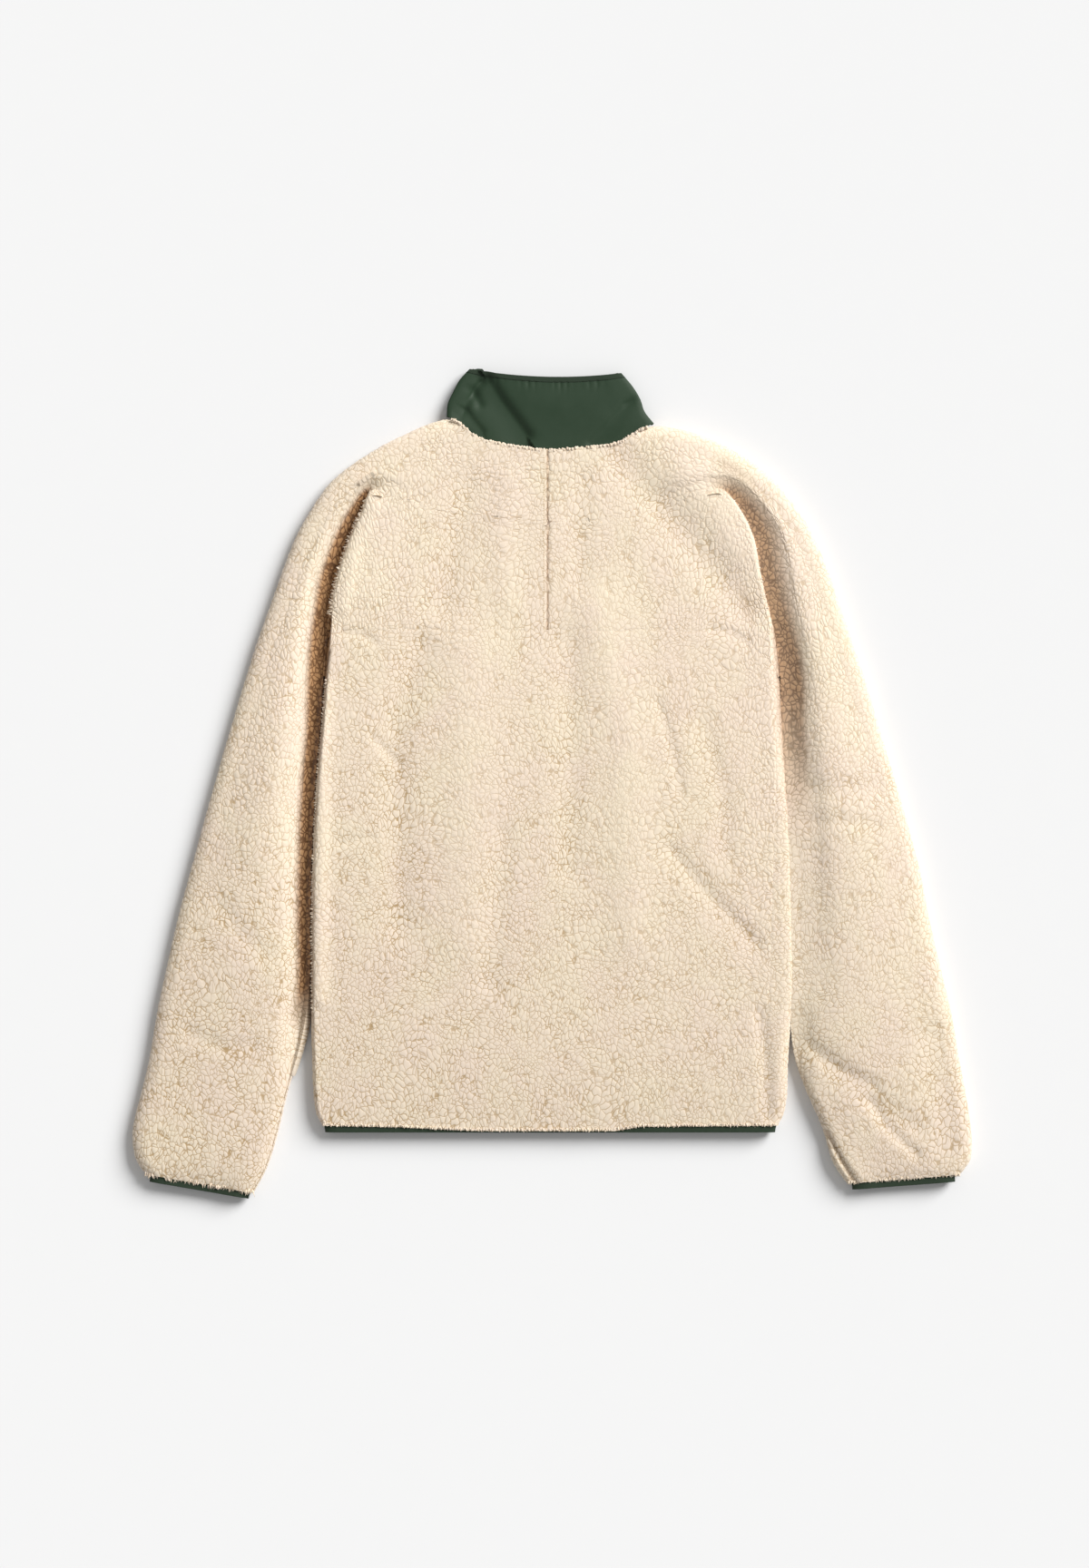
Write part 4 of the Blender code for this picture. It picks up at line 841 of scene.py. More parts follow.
# ============================================================ fleece: back
# The back is one panel of the same pile cloth, sewn to the yoke above it. On the left it
# turns under round the side to meet the left front.
def seam_line(rows, last, spacing):
    """Points along the yoke seam from the centre towards the underarm."""
    fine = spline_weights(len(rows), np.linspace(0, last, 600)) @ rows
    line = fine[:, 4:6]
    run = np.concatenate(([0], np.cumsum(np.hypot(*np.diff(line, axis=0).T))))
    places = np.linspace(0, run[-1], round(run[-1] / spacing) + 1)
    return np.stack([np.interp(places, run, line[:, axis]) for axis in (0, 1)], 1)


left_half = seam_line(LEFT_SLEEVE, 11.85, PILE_SPACING)
right_half = seam_line(RIGHT_SLEEVE, 11.6, PILE_SPACING)
seam_points = np.concatenate((left_half[:0:-1], right_half))
left, right = side_edges(seam_points[:, 1])
seam = right - side_seam_inset(seam_points[:, 1])
shares = np.clip((seam_points[:, 0] - left) / (seam - left), 0.0005, 0.9995)
tops = seam_points[:, 1].copy()
keep = np.concatenate(([True], np.diff(shares) * 460 > 0.35))
shares = np.concatenate(([0.0], shares[keep], [1.0]))
tops = np.concatenate(([UNDERARM_Y], tops[keep], [UNDERARM_Y - 3]))
steps = np.linspace(0, 1, 291)[:, None]
y = tops + (HEM_Y - tops) * steps
left, right = side_edges(y)
x = left + (right - side_seam_inset(y) - left) * shares
y -= hem_overhang(x) * steps ** 8
back_points = np.stack((x, y, body_height(x, y, left, right)), 2)
dip_edge(back_points.transpose(1, 0, 2))
dip_edge(back_points[:, ::-1])
edge_y = UNDERARM_Y + (HEM_Y - UNDERARM_Y) * steps[:, 0]
edge_left = side_edges(edge_y)[0]
turns = (1.0, 0.75, 0.5, 0.25)
under_roll = np.stack([np.stack((
    edge_left + UNDER_REACH * (1 - math.cos(turn * math.pi / 2)), edge_y,
    np.full_like(edge_y, EDGE_HEIGHT * (1 - math.sin(turn * math.pi / 2)))), 1)
    for turn in turns], 1)
back = sew_fleece("back", [np.concatenate((under_roll, back_points), 1)], 0.8)

# ============================================================ fleece: fronts
# Two fronts of the same cloth lie face down on the table, parted by the zip. The right one
# comes round the side to its seam on the back.
FRONT_SPACING = 3.2
FRONT_NECK_Y = 300.0
ZIP_HALF_GAP = 8.3             # fleece edge to the zip's middle
FRONT_REST = 0.3
WRAP_TURNS = (0.75, 0.5, 0.25, 0.0)


def front_piece(name, rows, side):
    steps = even_steps(rows, NECK_ROW, UNDERARM_ROW - 0.15, FRONT_SPACING)
    shaped = spline_weights(len(rows), steps) @ rows
    rise = (UNDERARM_ROW - steps) / (UNDERARM_ROW - NECK_ROW)
    body_y = UNDERARM_Y + (HEM_Y - UNDERARM_Y) * np.linspace(0, 1, 279 if side > 0 else 140)
    body_left, body_right = side_edges(body_y)
    body_side = body_left + UNDER_REACH + SEAM_GAP if side < 0 else body_right - UNDER_REACH
    zip_y = np.concatenate((UNDERARM_Y + (FRONT_NECK_Y - UNDERARM_Y) * rise, body_y))[:, None]
    side_x = np.concatenate((shaped[:, 6] - side * (SEAM_GAP + 0.1), body_side))[:, None]
    side_y = np.concatenate((shaped[:, 7], body_y))[:, None]
    bend = np.concatenate((1 + rise, np.ones_like(body_y)))[:, None]
    share = np.linspace(0, 1, round(215 / FRONT_SPACING))[None, :]
    x = side * ZIP_HALF_GAP + (side_x - side * ZIP_HALF_GAP) * share
    y = zip_y + (side_y - zip_y) * share ** bend
    grids = [np.stack((x, y, np.full_like(x, FRONT_REST)), 2)]
    if side > 0:
        angle = np.array(WRAP_TURNS)[None, :] * math.pi / 2
        roll_x = body_right[:, None] - UNDER_REACH * (1 - np.cos(angle))
        edge_z = right_edge_height(body_y)[:, None]
        roll_z = FRONT_REST + (edge_z - FRONT_REST) * (1 - np.sin(angle))
        share = np.linspace(0, 1, 19)[None, 1:] ** 1.4
        top_x = body_right[:, None] - side_seam_inset(body_y)[:, None] * share
        top_z = body_height(top_x, body_y[:, None], body_left[:, None], body_right[:, None])
        first = grids[0][len(steps):, -1:]
        wrap = np.stack(np.broadcast_arrays(roll_x, body_y[:, None], roll_z), 2)
        top = np.stack(np.broadcast_arrays(top_x, body_y[:, None], top_z), 2)
        strip = np.concatenate((first, wrap, top), 1)
        dip_edge(strip[:, ::-1])
        grids.append(strip)
    return sew_fleece(name, grids, 1.0, faces_up=False)


front_left = front_piece("front_left", LEFT_SLEEVE, -1)
front_right = front_piece("front_right", RIGHT_SLEEVE, 1)

# ============================================================ collar
# A standing collar of dark green woven nylon, folded flat. Its top is turned in and
# stitched down, which puckers the cloth below the stitches.
COLLAR_WALL = 1.5
COLLAR_FOLD_REACH = 6.0
COLLAR_EDGE_ROW = 3.62
# A row for each height between the collar's neck seam and its top edge
CollarRow = namedtuple("CollarRow", "left_x left_y right_x right_y back_y front_y top floor")
COLLAR = np.array([
    (-105.5, 364.0, 100.5, 357.2, 331.7, FRONT_NECK_Y + 0.8, 13.4, 3.2),
    (-104.5, 377.0, 91.5, 369.0, 350.0, 318.0, 12.8, 3.0),
    (-99.0, 389.5, 87.2, 381.5, 368.0, 336.0, 12.0, 2.8),
    (-92.5, 401.5, 80.0, 394.0, 387.0, 354.0, 11.5, 2.8),
    (-83.0, 412.0, 68.5, 408.0, 404.4, 372.0, 11.0, 2.8),
])
# Its folds, each along three points of the plan, with its width to either side of the line
CollarFold = namedtuple("CollarFold", "x0 y0 x1 y1 x2 y2 lift lower_width upper_width")
COLLAR_FOLDS = [CollarFold(*row) for row in (
    (-65, 401, -52, 380, -27, 346, -4.2, 26, 6.6),     # slanting trough on the left
    (-98, 360, -86, 379, -72, 399, -2.3, 2.8, 5.5),    # crease by the left fold
    (-86, 371, -79, 361, -70, 350, -1.1, 6, 3),
    (-80, 391, -76, 384, -73, 377, -1.7, 4.5, 4.5),    # the pocket where it turns in
    (82, 387, 66, 368, 38, 338, -1.5, 4, 10),          # soft trough by the right fold
    (87, 389, 81, 383, 74, 377, -2.2, 2.2, 4),
    (-112, 382, -92, 360, -82, 338, -3.0, 18, 20),     # the left end lies lower
    (-20, 380, 10, 376, 40, 372, 0.9, 18, 18),         # fullness of the middle
)]
PUCKER_PITCH = 7.0
PUCKER_DEPTH = 0.6
PUCKER_LENGTH = 0.36           # in rows, below the stitches


def collar_lift(x, y):
    """Height that the collar's folds add over the plan."""
    total = np.zeros_like(x)
    for fold in COLLAR_FOLDS:
        near = np.minimum(gap_to_line(x, y, fold.x0, fold.y0, fold.x1, fold.y1),
                          gap_to_line(x, y, fold.x1, fold.y1, fold.x2, fold.y2))
        side = (x - fold.x0) * (fold.y2 - fold.y0) - (y - fold.y0) * (fold.x2 - fold.x0)
        upper = side * (fold.y2 - fold.y0) > 0
        width = np.where(upper, fold.upper_width, fold.lower_width)
        total += fold.lift * np.exp(-(near / width) ** 2)
    return total


def neck_points():
    """Points of the neck seam from left to right, half a row apart."""
    steps = np.arange(0.5, NECK_ROW + 0.1, 0.5)
    halves = [(spline_weights(len(rows), steps) @ rows)[:, :2]
              for rows in (LEFT_SLEEVE, RIGHT_SLEEVE)]
    middle = (LEFT_SLEEVE[:1, :2] + RIGHT_SLEEVE[:1, :2]) / 2
    return np.concatenate((halves[0][::-1], middle, halves[1]))


def sagging(row, share):
    """Height up the plan of the collar's upper layer, from its left fold to its right."""
    ends = row.left_y + (row.right_y - row.left_y) * share
    sag = (row.left_y + row.right_y) / 2 - row.back_y
    return ends - sag * (1 - (2 * share - 1) ** 2)


def collar_net_row(step):
    """Round the collar at one height, from the zip's left side over the back to its right."""
    row = CollarRow(*(spline_weights(len(COLLAR), [step]) @ COLLAR)[0])
    first = CollarRow(*COLLAR[0])
    middle = (row.top + row.floor) / 2
    halves = []
    for side, x, y in ((-1, row.left_x, row.left_y), (1, row.right_x, row.right_y)):
        half = []
        start = side * (ZIP_HALF_GAP + 0.1)
        for share in (0, 0.2, 0.4, 0.6, 0.8, 1.0):
            half.append((start + (x - side * COLLAR_FOLD_REACH - start) * share,
                         row.front_y + (y - row.front_y) * share ** (2.0 - 0.1 * step),
                         row.floor, 0.0))
        for turn, z in ((0.5, row.floor), (0.0, row.top), (0.5, row.top)):
            angle = turn * math.pi / 2
            half.append((x - side * COLLAR_FOLD_REACH * (1 - math.cos(angle)), y,
                         middle + (z - middle) * math.sin(angle), 0.0))
        halves.append(half)
    upper = []
    for x, y in neck_points()[1:-1]:
        share = (x - first.left_x) / (first.right_x - first.left_x)
        seam_y = y + SEAM_GAP + 0.1 - sagging(first, share)
        upper.append((row.left_x + (row.right_x - row.left_x) * share,
                      sagging(row, share) + seam_y * max(0.0, 1 - step / 2) ** 2,
                      row.top, 1.0))
    return halves[0] + upper + halves[1][::-1]


def collar_points(first, last, count):
    """Fine points of the collar between two heights, with its folds."""
    steps = np.arange(0, len(COLLAR) - 0.9, 0.25)
    net = np.array([collar_net_row(step) for step in steps])
    cells = [8] * 5 + [3] * 4 + [16] * 10 + [3] * 4 + [8] * 5
    points = fine_points(net, np.linspace(first, last, count) * 4, column_steps(cells))
    lift = collar_lift(points[..., 0], points[..., 1])
    below = (COLLAR_EDGE_ROW - np.linspace(first, last, count)[:, None]) / PUCKER_LENGTH
    run = points[..., 0]
    ticks = 0.5 + 0.5 * np.sin(run * 2 * math.pi / PUCKER_PITCH + 1.6 * np.sin(run / 13))
    ticks *= 0.65 + 0.35 * np.sin(run / 5.3)
    lift -= PUCKER_DEPTH * np.where(below >= 0, np.exp(-below ** 2), 0) * ticks ** 2
    points[..., 2] += lift * points[..., 3]
    return points[..., :3]


def make_weave():
    """Shader group: height of a plain weave, its threads crossing over and under."""
    tree = bpy.data.node_groups.new("plain_weave", "ShaderNodeTree")
    tree.interface.new_socket("Place", in_out="INPUT", socket_type="NodeSocketVector")
    tree.interface.new_socket("Scale", in_out="INPUT", socket_type="NodeSocketFloat")
    tree.interface.new_socket("Height", in_out="OUTPUT", socket_type="NodeSocketFloat")
    source = node(tree, "NodeGroupInput")
    turned_place = node(tree, "ShaderNodeVectorRotate", {"Vector": source.outputs["Place"],
                                                         "Angle": WEAVE_ANGLE},
                        rotation_type="Z_AXIS")
    sheets = []
    for across, phase in (("X", 0.0), ("Y", math.pi / 2)):
        wave = node(tree, "ShaderNodeTexWave", {"Vector": turned_place.outputs[0],
                                                "Scale": source.outputs["Scale"],
                                                "Phase Offset": phase,
                                                "Distortion": 0.4, "Detail": 1.0},
                    bands_direction=across)
        sheets.append(wave.outputs["Fac"])
    over = node(tree, "ShaderNodeMath", {0: sheets[0], 1: sheets[1]}, operation="MAXIMUM")
    node(tree, "NodeGroupOutput", {"Height": over.outputs[0]})
    return tree


WEAVE_ANGLE = 0.12
WAVE_OF_PITCH = 0.314          # a wave texture's scale, times the distance between threads
plain_weave = make_weave()


def woven(tree, pitch):
    """The weave's height in a material, with its threads this many metres apart."""
    place = node(tree, "ShaderNodeTexCoord").outputs["Object"]
    weave = node(tree, "ShaderNodeGroup", {"Place": place, "Scale": WAVE_OF_PITCH / pitch},
                 node_tree=plain_weave)
    return weave.outputs["Height"]


def finish_cloth(thing, solid_name, wall, bevel=0.0):
    """Gives a sewn piece its wall, rounds its edges, and puts it on the jacket."""
    thing.data.shade_smooth()
    solid = thing.modifiers.new("wall", "SOLIDIFY")
    solid.thickness = wall * MM
    solid.offset = -1
    if bevel:
        rounded = thing.modifiers.new("rounded", "BEVEL")
        rounded.width = bevel * MM
        rounded.segments = 2
        rounded.limit_method = "ANGLE"
        rounded.angle_limit = math.radians(50)
    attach(thing, "jacket")
    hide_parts(solid_name)


NYLON_PITCH = 0.0005
NYLON_GREEN = (0.018, 0.039, 0.020, 1.0)
NYLON_LIGHT = (0.026, 0.049, 0.028, 1.0)
nylon, tree, shader = new_material("nylon", 0.5, Sheen_Weight=0.05, Sheen_Roughness=0.4,
                                   Specular_IOR_Level=0.22)
weave = woven(tree, NYLON_PITCH)
place = node(tree, "ShaderNodeTexCoord").outputs["Object"]
cloudy = node(tree, "ShaderNodeTexNoise", {"Vector": place, "Scale": 60.0, "Detail": 3.0})
colour = node(tree, "ShaderNodeMix", {"Factor": cloudy.outputs["Fac"], "A": NYLON_GREEN,
                                      "B": NYLON_LIGHT}, data_type="RGBA")
tree.links.new(colour.outputs["Result"], shader.inputs["Base Color"])
dull = node(tree, "ShaderNodeMapRange", {"Value": cloudy.outputs["Fac"], "To Min": 0.45,
                                         "To Max": 0.62})
tree.links.new(dull.outputs[0], shader.inputs["Roughness"])
bump = node(tree, "ShaderNodeBump", {"Height": weave, "Strength": 0.25, "Distance": 0.0002})
tree.links.new(bump.outputs[0], shader.inputs["Normal"])

mesh = bmesh.new()
add_grid(mesh, collar_points(0.0, COLLAR_EDGE_ROW + 0.02, 50))
collar = show("collar", mesh, nylon)
finish_cloth(collar, "collar", COLLAR_WALL)

# ============================================================ bindings
# The collar's turned edge, and the folded tape that holds the fleece's raw edge at the hem
# and at both cuffs, all of the same dark green, with the tape's fine cross ribs.
BINDING_WALL = 2.4
BINDING_INSET = 1.6
BINDING_MIDDLE = 9.0
HEM_BINDING_END = -348.3
CUFF_BINDING_LENGTH = 6.2
CUFF_INSET = 4.5
BINDING_PITCH = 0.0009
BINDING_GREEN = (0.013, 0.026, 0.015, 1.0)
BINDING_LIGHT = (0.022, 0.038, 0.022, 1.0)
binding, tree, shader = new_material("binding_tape", 0.75, Sheen_Weight=0.06,
                                     Sheen_Roughness=0.5, Specular_IOR_Level=0.25)
ribs = woven(tree, BINDING_PITCH)
colour = node(tree, "ShaderNodeMix", {"Factor": ribs, "A": BINDING_GREEN,
                                      "B": BINDING_LIGHT}, data_type="RGBA")
tree.links.new(colour.outputs["Result"], shader.inputs["Base Color"])
bump = node(tree, "ShaderNodeBump", {"Height": ribs, "Strength": 0.4, "Distance": 0.0003})
tree.links.new(bump.outputs[0], shader.inputs["Normal"])

points = collar_points(COLLAR_EDGE_ROW, 4.0, 9)
upper = points[..., 2] > 7
points[..., 2] += np.where(upper, 0.5, -0.5)
mesh = bmesh.new()
add_grid(mesh, points)
collar_edge = show("collar_binding", mesh, binding)
finish_cloth(collar_edge, "collar_binding", BINDING_WALL, 0.7)


def hem_ring(y):
    """Round the hem at one height, from the zip's left side over the back to its right."""
    left, right = (float(edge) for edge in side_edges(y))
    left, right = left + BINDING_INSET, right - BINDING_INSET
    reach, under = EDGE_REACH - BINDING_INSET, UNDER_REACH - BINDING_INSET
    ring = []
    for edge, way in ((left, 1), (right, -1)):
        half = [(-way * ZIP_HALF_GAP + (edge + way * under + way * ZIP_HALF_GAP) * share, y,
                 BINDING_INSET, 0.0) for share in np.linspace(0, 1, 6)]
        line, inward = np.array((edge, y)), np.array((way, 0.0))
        top = HEM_TOP - 1.0 + float(fold_lift(FOLDS, np.array(edge + way * reach),
                                              np.array(HEM_Y)))
        half.append(turned(line, inward, under, 0.5, EDGE_HEIGHT, BINDING_INSET))
        half += [turned(line, inward, reach, turn, EDGE_HEIGHT, top) for turn in (0, 0.5, 1)]
        ring.append(half)
    middle = [(x, y, HEM_TOP - 1.0 + float(fold_lift(FOLDS, np.array(x), np.array(HEM_Y))), 1)
              for x in np.linspace(left + reach, right - reach, 13)[1:-1]]
    return ring[0] + middle + ring[1][::-1]


net = np.array([hem_ring(y) for y in np.linspace(HEM_Y - 0.2, HEM_BINDING_END, 3)])
cells = [14] * 5 + [3] * 4 + [14] * 12 + [3] * 4 + [14] * 5
points = fine_points(net, np.linspace(0, 2, 6), column_steps(cells))[..., :3]
mesh = bmesh.new()
add_grid(mesh, points)
face_outward(mesh, BINDING_MIDDLE)
hem_binding = show("hem_binding", mesh, binding)
finish_cloth(hem_binding, "hem_binding", BINDING_WALL, 0.7)


def cuff_binding_piece(name, rows):
    ring = np.array(sleeve_net_row(rows, len(rows) - 1, True))
    last = Section(*rows[-1])
    outer, crease = np.array((last.outer_x, last.outer_y)), np.array((last.crease_x,
                                                                      last.crease_y))
    across = unit(crease - outer)
    width = np.hypot(*(crease - outer))
    run = (ring[:, :2] - outer) @ across
    ring[:, :2] += np.outer(run * -2 * CUFF_INSET / width + CUFF_INSET, across)
    ring[:, 2] -= CUFF_DROP * ring[:, 3]
    high = ring[:, 2].max()
    ring[:, 2] = BINDING_INSET + ring[:, 2] * (high - 2 * BINDING_INSET) / high
    down_arm = np.array((across[1], -across[0])) * (1 if across[0] > 0 else -1)
    net = []
    for reach in np.linspace(0.2, SEAM_GAP + CUFF_BINDING_LENGTH, 3):
        moved = ring.copy()
        moved[:, :2] += down_arm * reach
        net.append(moved)
    points = fine_points(np.array(net), np.linspace(0, 2, 6),
                         np.linspace(0, len(ring) - 1, 121))[..., :3]
    points[:, -1] = points[:, 0]
    mesh = bmesh.new()
    add_grid(mesh, points)
    bmesh.ops.remove_doubles(mesh, verts=mesh.verts, dist=0.02 * MM)
    face_outward(mesh, BINDING_MIDDLE)
    thing = show(name, mesh, binding)
    finish_cloth(thing, name, BINDING_WALL, 0.7)
    return thing


cuff_binding_left = cuff_binding_piece("cuff_binding_left", LEFT_SLEEVE)
cuff_binding_right = cuff_binding_piece("cuff_binding_right", RIGHT_SLEEVE)

# ============================================================ fleece: locks along the edges
# Curled locks of the same pile stand out along the fleece's edges: into the creases beside
# the body, and over the hem, the cuffs and the neck seam.
Edging = namedtuple("Edging", "line way spacing longest width heights drop curled")
lock_random = np.random.default_rng(7)


def one_shape(name, make):
    """The mesh data of one small shape, to be placed many times."""
    mesh = bmesh.new()
    make(mesh)
    data = bpy.data.meshes.new(name)
    mesh.to_mesh(data)
    mesh.free()
    return data


def add_copy(mesh, shape, place):
    """Adds a copy of a small shape to a mesh, moved by a matrix."""
    copy = shape.copy()
    copy.transform(place)
    mesh.from_mesh(copy)
    bpy.data.meshes.remove(copy)


def placed(spot, way, width, length):
    """The matrix that lays a unit shape's Z axis along a direction at a place of the plan."""
    turn = Vector((0, 0, 1)).rotation_difference(Vector(way)).to_matrix().to_4x4()
    size = Matrix.Diagonal((width * MM, width * MM, length * MM, 1.0))
    return Matrix.Translation(Vector((spot + PLAN_SHIFT) * MM)) @ turn @ size


pointed_lock = one_shape("pointed_lock", lambda mesh: bmesh.ops.create_cone(
    mesh, cap_ends=True, segments=5, radius1=0.55, radius2=0.1, depth=1.0))
curled_lock = one_shape("curled_lock", lambda mesh: bmesh.ops.create_uvsphere(
    mesh, u_segments=6, v_segments=4, radius=0.5))


def add_edging(mesh, edging):
    """Locks along a line of the plan, all standing out to one way, unevenly."""
    line = np.array(edging.line, float)
    run = np.concatenate(([0], np.cumsum(np.hypot(*np.diff(line, axis=0).T))))
    for height in edging.heights:
        for place in np.arange(0, run[-1], edging.spacing):
            place += lock_random.uniform(-0.5, 0.5) * edging.spacing
            spot = np.array([np.interp(place, run, line[:, axis]) for axis in (0, 1)])
            ahead = np.array([np.interp(place + 3, run, line[:, axis]) for axis in (0, 1)])
            back = np.array([np.interp(place - 3, run, line[:, axis]) for axis in (0, 1)])
            along_line = unit(ahead - back)
            outward = np.array((along_line[1], -along_line[0])) * edging.way
            lean = outward + along_line * lock_random.uniform(-0.55, 0.55)
            way = np.append(unit(lean), edging.drop + lock_random.uniform(-0.3, 0.3))
            way = way / np.linalg.norm(way)
            root = np.append(spot - outward * lock_random.uniform(0, 1.2),
                             height + lock_random.uniform(-0.8, 0.8))
            length = edging.longest * lock_random.uniform(0.55, 1.0)
            width = edging.width * lock_random.uniform(0.75, 1.15)
            shape = curled_lock if lock_random.random() < edging.curled else pointed_lock
            add_copy(mesh, shape, placed(root + way * length * 0.3, way, width, length))


def edge_of(rows, first, last, column):
    steps = np.linspace(first, last, 60)
    return (spline_weights(len(rows), steps) @ rows)[:, column:column + 2]


side_y = np.linspace(UNDERARM_Y - 2, -228, 60)
left_line = side_edges(side_y)[0]
hem_x = np.linspace(-228, 223, 90)
neck_line = np.concatenate((edge_of(LEFT_SLEEVE, 0, 2.9, 0)[::-1],
                            edge_of(RIGHT_SLEEVE, 0, 2.9, 0)[1:]))
EDGINGS = (
    Edging(edge_of(LEFT_SLEEVE, 5.6, 10.4, 2) + (2.2, 0), 1, 2.3, 6.5, 1.9, (15.8, 14), -0.1,
           0.3),
    Edging(np.stack((left_line + 1.8, side_y), 1), 1, 2.6, 5.0, 1.9, (15.5, 13), -0.1, 0.3),
    Edging(edge_of(RIGHT_SLEEVE, 6.0, 10.4, 2) - (2.2, 0), -1, 4.4, 4.5, 1.9, (15.8,), -0.1,
           0.4),
    Edging(np.stack((hem_x, HEM_Y + 1.2 - hem_overhang(hem_x)), 1), 1, 1.7, 3.9, 2.0,
           (14.4, 12.5), -0.08, 0.3),
    Edging(np.linspace(LEFT_SLEEVE[-1, :2], LEFT_SLEEVE[-1, 2:4], 30) + (-0.3, 1.0), 1, 1.8,
           7.0, 2.0, (12.8, 11.5), -0.1, 0.3),
    Edging(np.linspace(RIGHT_SLEEVE[-1, :2], RIGHT_SLEEVE[-1, 2:4], 30) + (0.3, 1.0), -1, 1.9,
           5.0, 2.0, (12.8, 11.5), -0.1, 0.3),
    Edging(neck_line - (0, 0.9), -1, 2.1, 4.2, 3.0, (16.3, 14.8), 0.0, 0.9),
)

mesh = bmesh.new()
for edging in EDGINGS:
    add_edging(mesh, edging)
locks = show("pile_locks", mesh, fleece)
locks.data.shade_smooth()
spots = np.empty(len(locks.data.vertices) * 3)
locks.data.vertices.foreach_get("co", spots)
locks.data.attributes.new("rest", "FLOAT_VECTOR", "POINT").data.foreach_set("vector", spots)
set_values(locks.data, {"open": np.full(len(spots) // 3, 0.6),
                        "shade": np.ones(len(spots) // 3)})
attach(locks, "jacket")

# ============================================================ topstitching
# Cotton thread holds the centre-back seam flat on its left side, coloured tan as the painted shade
# of its stitch holes.
# Dark green thread holds the collar's turned edge.
STITCH_PITCH = 2.3
STITCH_SEAM_X = -8.9
STITCH_SUNK = 0.15
STITCH_LENGTH, STITCH_WIDTH = 1.4, 0.85
COLLAR_STITCH_LENGTH, COLLAR_STITCH_WIDTH = 1.8, 0.6
SHADED_COTTON_TAN = (0.50, 0.37, 0.22, 1.0)
DARK_COTTON = (0.030, 0.048, 0.030, 1.0)
thread_hole_shade = new_material("thread_hole_shade", 0.8, Base_Color=SHADED_COTTON_TAN)[0]
thread_dark = new_material("thread_dark", 0.7, Base_Color=DARK_COTTON)[0]

one_stitch = one_shape("one_stitch", lambda mesh: bmesh.ops.create_uvsphere(
    mesh, u_segments=8, v_segments=6, radius=0.5))


def stitch_line(name, points, length, width, material):
    """Stitches lying end to end along a line of points, each a short rounded thread."""
    run = np.concatenate(([0], np.cumsum(np.linalg.norm(np.diff(points, axis=0), axis=1))))
    mesh = bmesh.new()
    for place in np.arange(STITCH_PITCH, run[-1], STITCH_PITCH):
        spot = np.array([np.interp(place, run, points[:, axis]) for axis in range(3)])
        ahead = np.array([np.interp(place + 1, run, points[:, axis]) for axis in range(3)])
        add_copy(mesh, one_stitch, placed(spot, ahead - spot, width, length))
    thing = show(name, mesh, material)
    thing.data.shade_smooth()
    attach(thing, "jacket")
    return thing


seam_y = np.linspace(328, 153, 120)
seam_x = np.full_like(seam_y, STITCH_SEAM_X)
seam_z = BODY_TOP + fold_lift(FOLDS, seam_x, seam_y) - STITCH_SUNK
back_stitches = stitch_line("centre_back_stitches", np.stack((seam_x, seam_y, seam_z), 1),
                            STITCH_LENGTH, STITCH_WIDTH, thread_hole_shade)
edge_line = collar_points(COLLAR_EDGE_ROW - 0.03, COLLAR_EDGE_ROW, 2)[1]
edge_line = edge_line[edge_line[:, 2] > 6] + (0, 0, 0.15)
collar_stitches = stitch_line("collar_stitches", edge_line, COLLAR_STITCH_LENGTH,
                              COLLAR_STITCH_WIDTH, thread_dark)

# ============================================================ front zip
# A moulded zip closes the front, which lies on the table: dark green woven tapes, plastic
# teeth, and a painted metal box, slider and pull tab. The tab swings on the slider's pin.
TAPE_IN = 3.0
TAPE_OUT = 7.7
TAPE_MIDDLE_Z = 5.0
TAPE_WALL = 0.9
ZIP_FOOT_Y = -346.5
ZIP_HEAD_Y = 370.0
BOX_END_Y = -338.5
TOOTH_PITCH = 2.6
SLIDER_FOOT_Y = 351.0
SLIDER_HEAD_Y = 362.5
SLIDER_HALF_WIDTH = 4.3
SLIDER_LOW, SLIDER_HIGH = 2.8, 7.4
PLATE_WALL = 0.8
POST_Y = 359.5
PIN_Y, PIN_Z, PIN_RADIUS = 355.5, 1.45, 0.55
EYE_RADIUS = 1.15
TAB_HALF_WIDTH, TAB_LENGTH, TAB_WALL = 2.6, 24.0, 1.1
EYE_IN = 1.2
TAPE_PITCH = 0.0006
TAPE_GREEN = (0.010, 0.020, 0.012, 1.0)
TAPE_LIGHT = (0.022, 0.038, 0.023, 1.0)
TEETH_GREEN = (0.016, 0.030, 0.018, 1.0)
ZIP_GREY = (0.10, 0.10, 0.095, 1.0)

zip_tape, tree, shader = new_material("zip_tape", 0.8, Sheen_Weight=0.1)
threads = woven(tree, TAPE_PITCH)
colour = node(tree, "ShaderNodeMix", {"Factor": threads, "A": TAPE_GREEN, "B": TAPE_LIGHT},
              data_type="RGBA")
tree.links.new(colour.outputs["Result"], shader.inputs["Base Color"])
bump = node(tree, "ShaderNodeBump", {"Height": threads, "Strength": 0.5, "Distance": 0.0003})
tree.links.new(bump.outputs[0], shader.inputs["Normal"])
zip_teeth = new_material("zip_teeth", 0.38, Base_Color=TEETH_GREEN)[0]
zip_metal, tree, shader = new_material("zip_metal", 0.34, Base_Color=ZIP_GREY, Metallic=0.85)
wear = node(tree, "ShaderNodeTexNoise", {"Vector": node(
    tree, "ShaderNodeTexCoord").outputs["Object"], "Scale": 900.0, "Detail": 3.0})
scuffed = node(tree, "ShaderNodeMapRange", {"Value": wear.outputs["Fac"], "To Min": 0.26,
                                            "To Max": 0.46})
tree.links.new(scuffed.outputs[0], shader.inputs["Roughness"])


